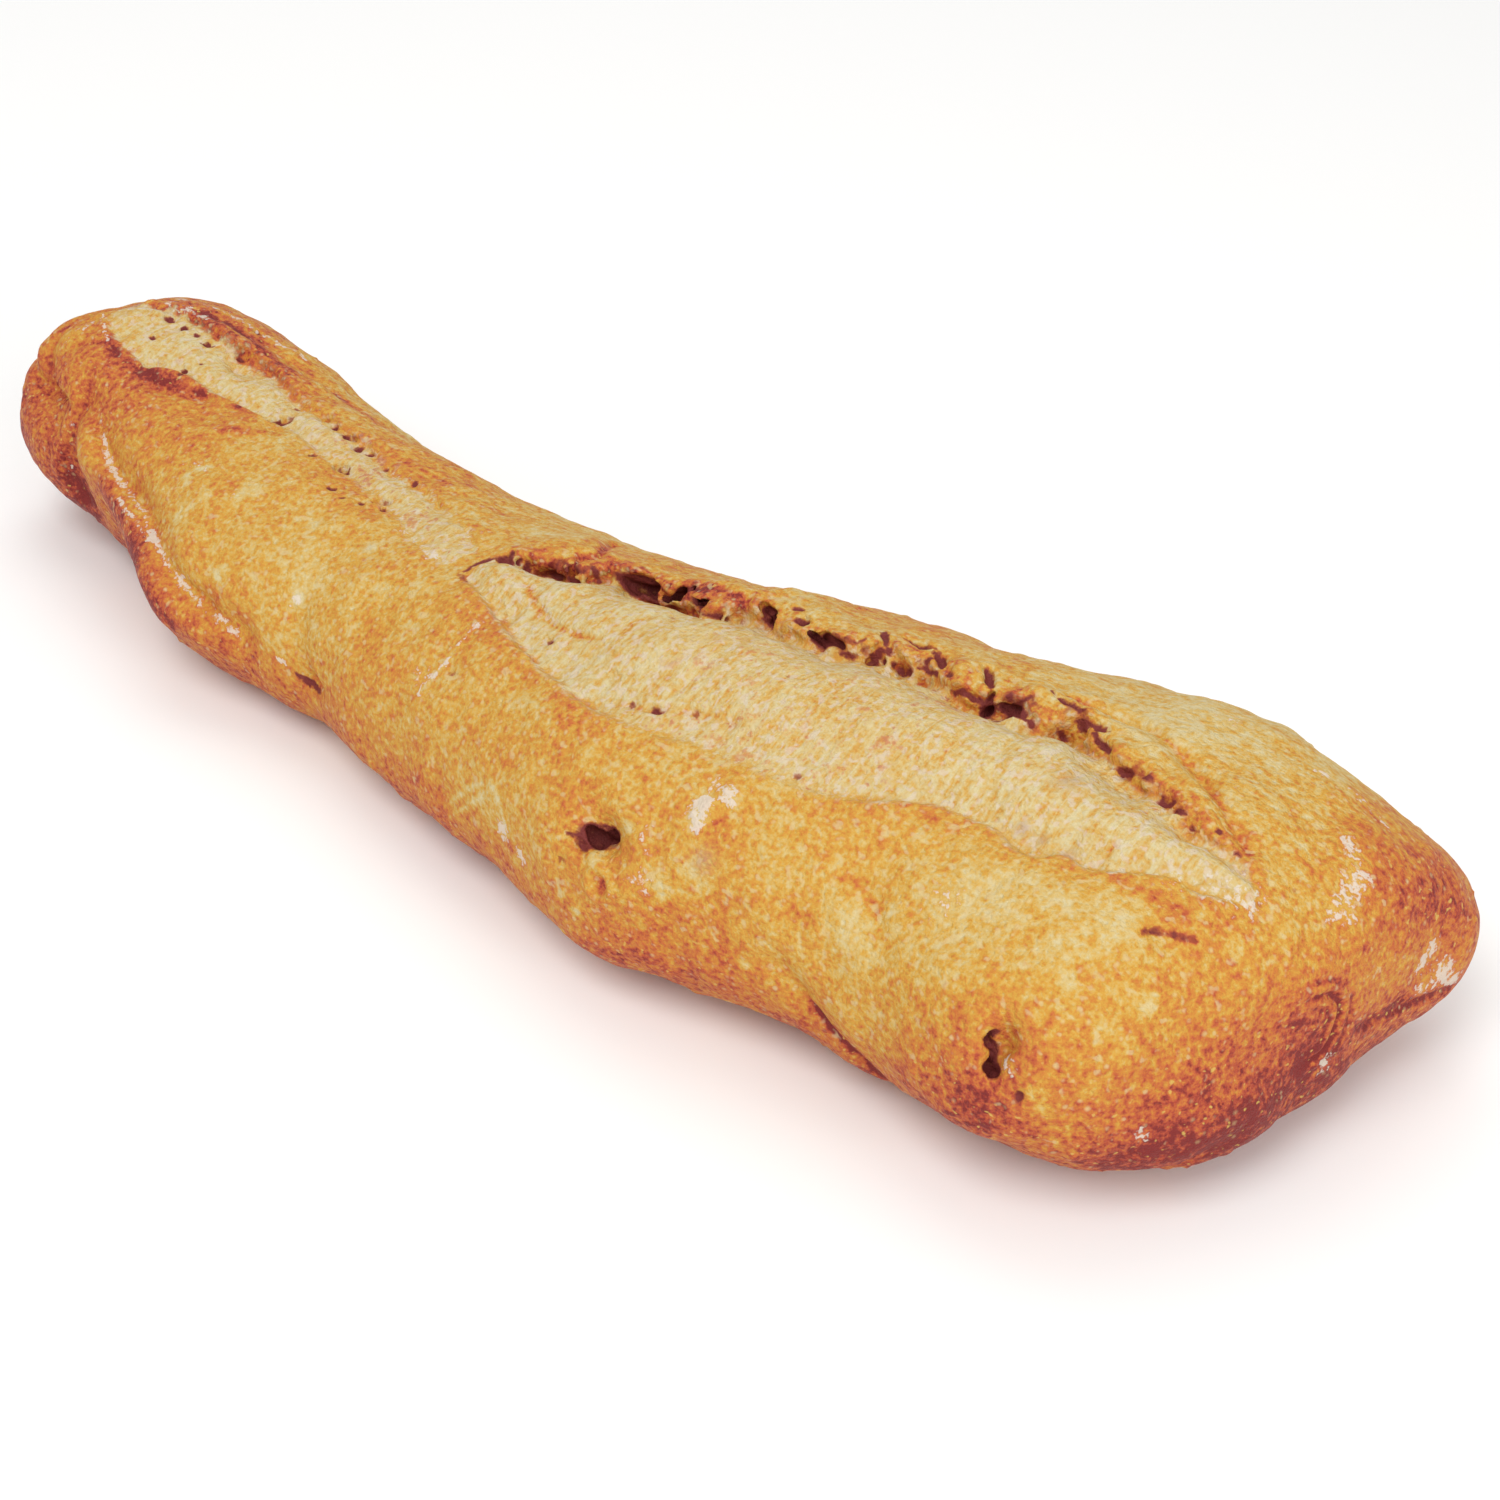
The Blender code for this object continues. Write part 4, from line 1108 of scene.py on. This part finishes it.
# --- material tools ----------------------------------------------------------------------
class Wire:
    """A shader socket that Python's operators work on."""

    def __init__(self, recipe, socket):
        self.recipe = recipe
        self.socket = socket

    def maths(self, operation, left, right):
        return self.recipe.maths(operation, left, right)

    def __add__(self, other):
        return self.maths("ADD", self, other)

    def __radd__(self, other):
        return self.maths("ADD", other, self)

    def __sub__(self, other):
        return self.maths("SUBTRACT", self, other)

    def __rsub__(self, other):
        return self.maths("SUBTRACT", other, self)

    def __mul__(self, other):
        return self.maths("MULTIPLY", self, other)

    def __rmul__(self, other):
        return self.maths("MULTIPLY", other, self)

    def __neg__(self):
        return self.maths("MULTIPLY", self, -1.0)

    def step(self, low, high):
        """0 below low, 1 above high, smooth between."""
        settings = dict(interpolation_type="SMOOTHSTEP")
        return self.recipe.node("ShaderNodeMapRange", settings, {0: self, 1: low, 2: high})


class Recipe:
    """One material and the nodes that it is mixed from."""

    def __init__(self, name):
        self.material = bpy.data.materials.new(name)
        self.material.use_nodes = True
        self.tree = self.material.node_tree
        self.shader = self.tree.nodes["Principled BSDF"]

    def fill(self, node, sockets):
        for key, value in sockets.items():
            if isinstance(value, Wire):
                self.tree.links.new(value.socket, node.inputs[key])
            else:
                node.inputs[key].default_value = value

    def maths(self, operation, left, right):
        return self.node("ShaderNodeMath", dict(operation=operation), {0: left, 1: right})

    def node(self, kind, settings=None, sockets=None, output=0):
        made = self.tree.nodes.new(kind)
        settings = dict(settings or {})
        stops = settings.pop("stops", None)
        for setting, value in settings.items():
            setattr(made, setting, value)
        if stops:
            ramp = made.color_ramp.elements
            while len(ramp) < len(stops):
                ramp.new(0.5)
            for mark, (place, colour) in zip(ramp, stops):
                mark.position = place
                mark.color = colour
        self.fill(made, sockets or {})
        return Wire(self, made.outputs[output])

    def stored(self, name):
        return self.node("ShaderNodeAttribute", dict(attribute_name=name), output="Fac")

    def coordinates(self, stretch=(1.0, 1.0, 1.0)):
        place = self.node("ShaderNodeTexCoord", output="Object")
        return self.node("ShaderNodeMapping", sockets={"Vector": place, "Scale": stretch})

    def noise(self, where, size, detail=2.0, roughness=0.5, distortion=0.0):
        """Noise about 0, mostly between -0.5 and 0.5, with lumps of a size in mm."""
        sockets = {"Vector": where, "Scale": 1.0 / (size * MM), "Detail": detail,
                   "Roughness": roughness, "Distortion": distortion}
        return (self.node("ShaderNodeTexNoise", sockets=sockets) - 0.5) * 1.6

    def dots(self, where, size):
        """Scattered round dots, above 0 inside them, with one dot in each cell of a size in mm."""
        sockets = {"Vector": where, "Scale": 1.0 / (size * MM)}
        return 0.20 - self.node("ShaderNodeTexVoronoi", sockets=sockets)

    def ramp(self, value, stops):
        return self.node("ShaderNodeValToRGB", dict(stops=stops), {"Fac": value})

    def mix(self, share, first, second):
        sockets = {0: share, 6: first, 7: second}
        return self.node("ShaderNodeMix", dict(data_type="RGBA"), sockets, output=2)


def colour(red, green, blue):
    """A display colour, 0 to 255, as the linear one that shaders use."""
    parts = [part / 255.0 for part in (red, green, blue)]
    linear = [part / 12.92 if part <= 0.04045 else ((part + 0.055) / 1.055) ** 2.4 for part in parts]
    return (*linear, 1.0)


CRUST_STOPS = (
    (0.00, colour(211, 194, 147)), (0.20, colour(209, 178, 108)),
    (0.38, colour(207, 158, 66)), (0.54, colour(202, 134, 57)),
    (0.70, colour(195, 107, 57)), (0.84, colour(176, 77, 55)),
    (1.00, colour(130, 48, 45)),
)
BLOOM_STOPS = (
    (0.00, colour(194, 106, 58)), (0.20, colour(204, 145, 66)),
    (0.38, colour(206, 165, 87)), (0.56, colour(208, 181, 120)),
    (0.80, colour(211, 196, 151)),
)
CREAM_COLOUR = colour(213, 194, 147)
MILKY_COLOUR = colour(214, 199, 182)
SPARK_COLOUR = colour(211, 176, 91)
RUST_COLOUR = colour(160, 78, 52)
# dark maroon of the hollows' walls and dips: partly their own colour, partly painted shade
PIT_AND_SHADE_COLOUR = colour(124, 55, 52)
STAIN_COLOUR = colour(176, 142, 124)
FLOUR_COLOUR = colour(220, 207, 190)
FRECKLE_COLOUR = colour(215, 193, 138)


GRAIN_DISTANCE = 0.00026       # height of the fine bumps


class CrustLook:
    """The noises and stored values that the crust's colours are mixed from."""

    def __init__(self, recipe):
        self.recipe = recipe
        self.place = recipe.coordinates()
        self.speck = recipe.noise(self.place, 1.15, 2.0, 0.62) * 1.15
        self.fleck = recipe.noise(self.place, 3.0, 2.0, 0.55)
        self.blotch = recipe.noise(self.place, 10.0, 2.0, 0.5)
        # how dark the crust is baked, with a few spots of painted shade
        self.bake = recipe.stored("bake")
        self.bloom = recipe.stored("bloom")
        self.torn = recipe.stored("torn")
        self.soft = recipe.stored("soft")
        # toast: browning along the torn edge and cracks, and painted shade in creases, grooves and
        # under the far lip
        self.toast = recipe.stored("toast") + self.torn * 0.26
        self.proud = recipe.stored("proud")
        self.opened = self.opened_share()

    def opened_share(self):
        """1 in an opened slash, 0 on closed crust, and broken up where the lip fades."""
        edge_noise = (self.fleck * 1.9 + self.speck * 1.0) * (1.0 + self.soft * 2.0)
        share = (self.bloom + edge_noise).step(-0.5, 0.8)
        closed = (self.fleck * 1.1 + self.blotch * 0.7 + self.speck * 0.8 - 0.10).step(0.0, 0.40)
        return share * (1.0 - closed * self.soft.step(0.1, 0.6) * 0.75)

    def closed_crust(self):
        """Crust that never opened, from pale gold to nearly black."""
        drawn_out = self.recipe.coordinates((0.22, 1.0, 1.0))
        lengthwise = self.recipe.noise(drawn_out, 1.5, 2.0, 0.6, 0.5)
        level = self.bake + self.speck * (0.50 + self.bake * 0.16)
        level = level + self.fleck * 0.32 + self.blotch * 0.16
        level = level + self.recipe.stored("flap") * (lengthwise * 0.40 - 0.05)
        level = level + self.torn * self.speck * 0.30
        lip_shade = (self.bloom + self.fleck * 1.5).step(-5.5, -0.4) * (1.0 - self.soft) * 0.13
        # painted light and shade: the crust is paler on small bumps and darker in small dips
        level = level + lip_shade + self.toast - self.proud * 0.25
        return self.recipe.ramp(level, CRUST_STOPS)

    def opened_dough(self):
        """The paler dough that swelled up in a slash."""
        drawn_out = self.recipe.coordinates((1.0, 0.17, 0.17))
        crosswise = self.recipe.noise(drawn_out, 1.05, 2.0, 0.6, 0.8)
        paleness = 0.54 + crosswise * 0.60 + self.speck * 0.60
        paleness = paleness + self.fleck * 0.28 + self.blotch * 0.22 - self.toast
        # painted light and shade: the dough is paler on small bumps and darker in small dips
        return self.recipe.ramp(paleness + self.proud * 0.20, BLOOM_STOPS)

    def paled(self, skin):
        """A skin with cream dapples, milky patches on the dough and freckles on the crust."""
        recipe = self.recipe
        dapple = recipe.noise(recipe.coordinates((0.93, 1.07, 1.0)), 1.6, 1.0, 0.5)
        cream = (dapple - self.bake * 0.36).step(-0.02, 0.22) * 0.54
        skin = recipe.mix(cream, skin, CREAM_COLOUR)
        milk = recipe.noise(recipe.coordinates((1.1, 0.9, 1.0)), 1.5, 1.0, 0.5, 0.4)
        skin = recipe.mix(milk.step(0.02, 0.26) * self.opened * 0.56, skin, MILKY_COLOUR)
        freckle = recipe.dots(self.place, 3.0) + self.speck * 0.18 + self.fleck * 0.16
        freckle = freckle.step(0.00, 0.20) * (1.0 - self.opened)
        freckle = freckle * (0.75 - self.bake.step(0.55, 0.85) * 0.40)
        return recipe.mix(freckle, skin, FRECKLE_COLOUR)

    def marked(self, skin):
        """A skin with grey stains, and bright sparks where it is baked darker."""
        recipe = self.recipe
        stain = recipe.stored("stain") * (self.speck * 1.2 + 0.85)
        skin = recipe.mix(stain, skin, STAIN_COLOUR)
        spark = recipe.noise(recipe.coordinates((1.0, 0.9, 1.1)), 1.2, 1.0, 0.5)
        spark = spark.step(0.26, 0.42) * (self.bake + self.toast).step(0.45, 0.70) * 0.85
        return recipe.mix(spark, skin, SPARK_COLOUR)

    def hollowed(self, skin):
        """A skin with rust-red rims wherever it is hollow, and walls darkened partly in their own
        colour and partly with painted shade.
        """
        recipe = self.recipe
        stored = recipe.stored("pit")
        hollow = stored + (self.speck * 0.5 + self.fleck * 0.2) * stored.step(0.0, 0.2)
        skin = recipe.mix(hollow.step(0.15, 0.55) * 0.75, skin, RUST_COLOUR)
        # painted shade: darker wherever the surface sinks below the crust around it
        sunk = (-recipe.stored("cavity") + self.speck * 0.3).step(0.7, 1.5)
        dark = recipe.maths("MAXIMUM", sunk, hollow.step(0.50, 0.95))
        return recipe.mix(dark, skin, PIT_AND_SHADE_COLOUR)

    def dust(self):
        """How thickly dried flour covers the crust."""
        flour = self.recipe.stored("flour")
        thick = flour + (self.speck * 1.6 + self.fleck) * flour.step(0.0, 0.25)
        return thick.step(0.50, 0.88) * 0.86


def crust_material():
    recipe = Recipe("baked_crust")
    look = CrustLook(recipe)
    skin = recipe.mix(look.opened, look.closed_crust(), look.opened_dough())
    skin = look.hollowed(look.marked(look.paled(skin)))
    dust = look.dust()
    skin = recipe.mix(dust, skin, FLOUR_COLOUR)
    grain = recipe.noise(look.place, 0.5, 3.0, 0.6) + look.speck * 1.6
    bumps = recipe.node("ShaderNodeBump", sockets={"Height": grain, "Distance": GRAIN_DISTANCE,
                                                   "Strength": 0.8})
    dryness = 0.62 + look.opened * 0.12 + dust * 0.15 - look.bake * 0.14 + look.speck * 0.08
    recipe.fill(recipe.shader, {"Base Color": skin, "Roughness": dryness, "Normal": bumps,
                                "Specular IOR Level": 0.14})
    return recipe.material


# --- studio ------------------------------------------------------------------------------
def make_camera():
    azimuth = math.radians(CAMERA_AZIMUTH)
    tilt = math.radians(CAMERA_HEIGHT_ANGLE)
    level = math.cos(tilt)
    back = Vector((math.sin(azimuth) * level, -math.cos(azimuth) * level, math.sin(tilt)))
    data = bpy.data.cameras.new("camera")
    data.lens = CAMERA_LENS
    data.sensor_width = CAMERA_SENSOR
    data.clip_start = 0.01
    camera = bpy.data.objects.new("camera", data)
    camera.location = Vector(CAMERA_TARGET) + back * CAMERA_DISTANCE
    camera.rotation_euler = back.to_track_quat("Z", "Y").to_euler()
    bpy.context.scene.collection.objects.link(camera)
    bpy.context.scene.camera = camera


def soft_light(name, place, target, size, power):
    data = bpy.data.lights.new(name, "AREA")
    data.shape = "DISK"
    data.size = size
    data.energy = power
    lamp = bpy.data.objects.new(name, data)
    lamp.location = place
    lamp.rotation_euler = (Vector(place) - Vector(target)).to_track_quat("Z", "Y").to_euler()
    bpy.context.scene.collection.objects.link(lamp)


def make_studio():
    bpy.ops.mesh.primitive_plane_add(size=FLOOR_SIZE, location=(0.0, 0.0, FLOOR_HEIGHT))
    floor = bpy.context.object
    floor.name = "studio_floor"
    recipe = Recipe("pale_floor")
    recipe.fill(recipe.shader, {"Base Color": FLOOR_COLOUR, "Roughness": 0.9,
                                "Specular IOR Level": 0.1})
    floor.data.materials.append(recipe.material)
    for light in LIGHTS:
        soft_light(*light)
    world = bpy.data.worlds.new("studio")
    world.use_nodes = True
    sky = world.node_tree.nodes["Background"]
    sky.inputs["Color"].default_value = SKY_COLOUR
    sky.inputs["Strength"].default_value = SKY_STRENGTH
    bpy.context.scene.world = world
    bpy.context.scene.view_settings.view_transform = "Standard"


# --- the loaf ----------------------------------------------------------------------------
make_camera()
make_studio()
loaf_crust, plain_form, torn_hollows = fine_loaf()
paint(loaf_crust, plain_form, torn_hollows)
loaf_crust.data.materials.clear()
loaf_crust.data.materials.append(crust_material())
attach(loaf_crust, "root")
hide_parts("loaf")
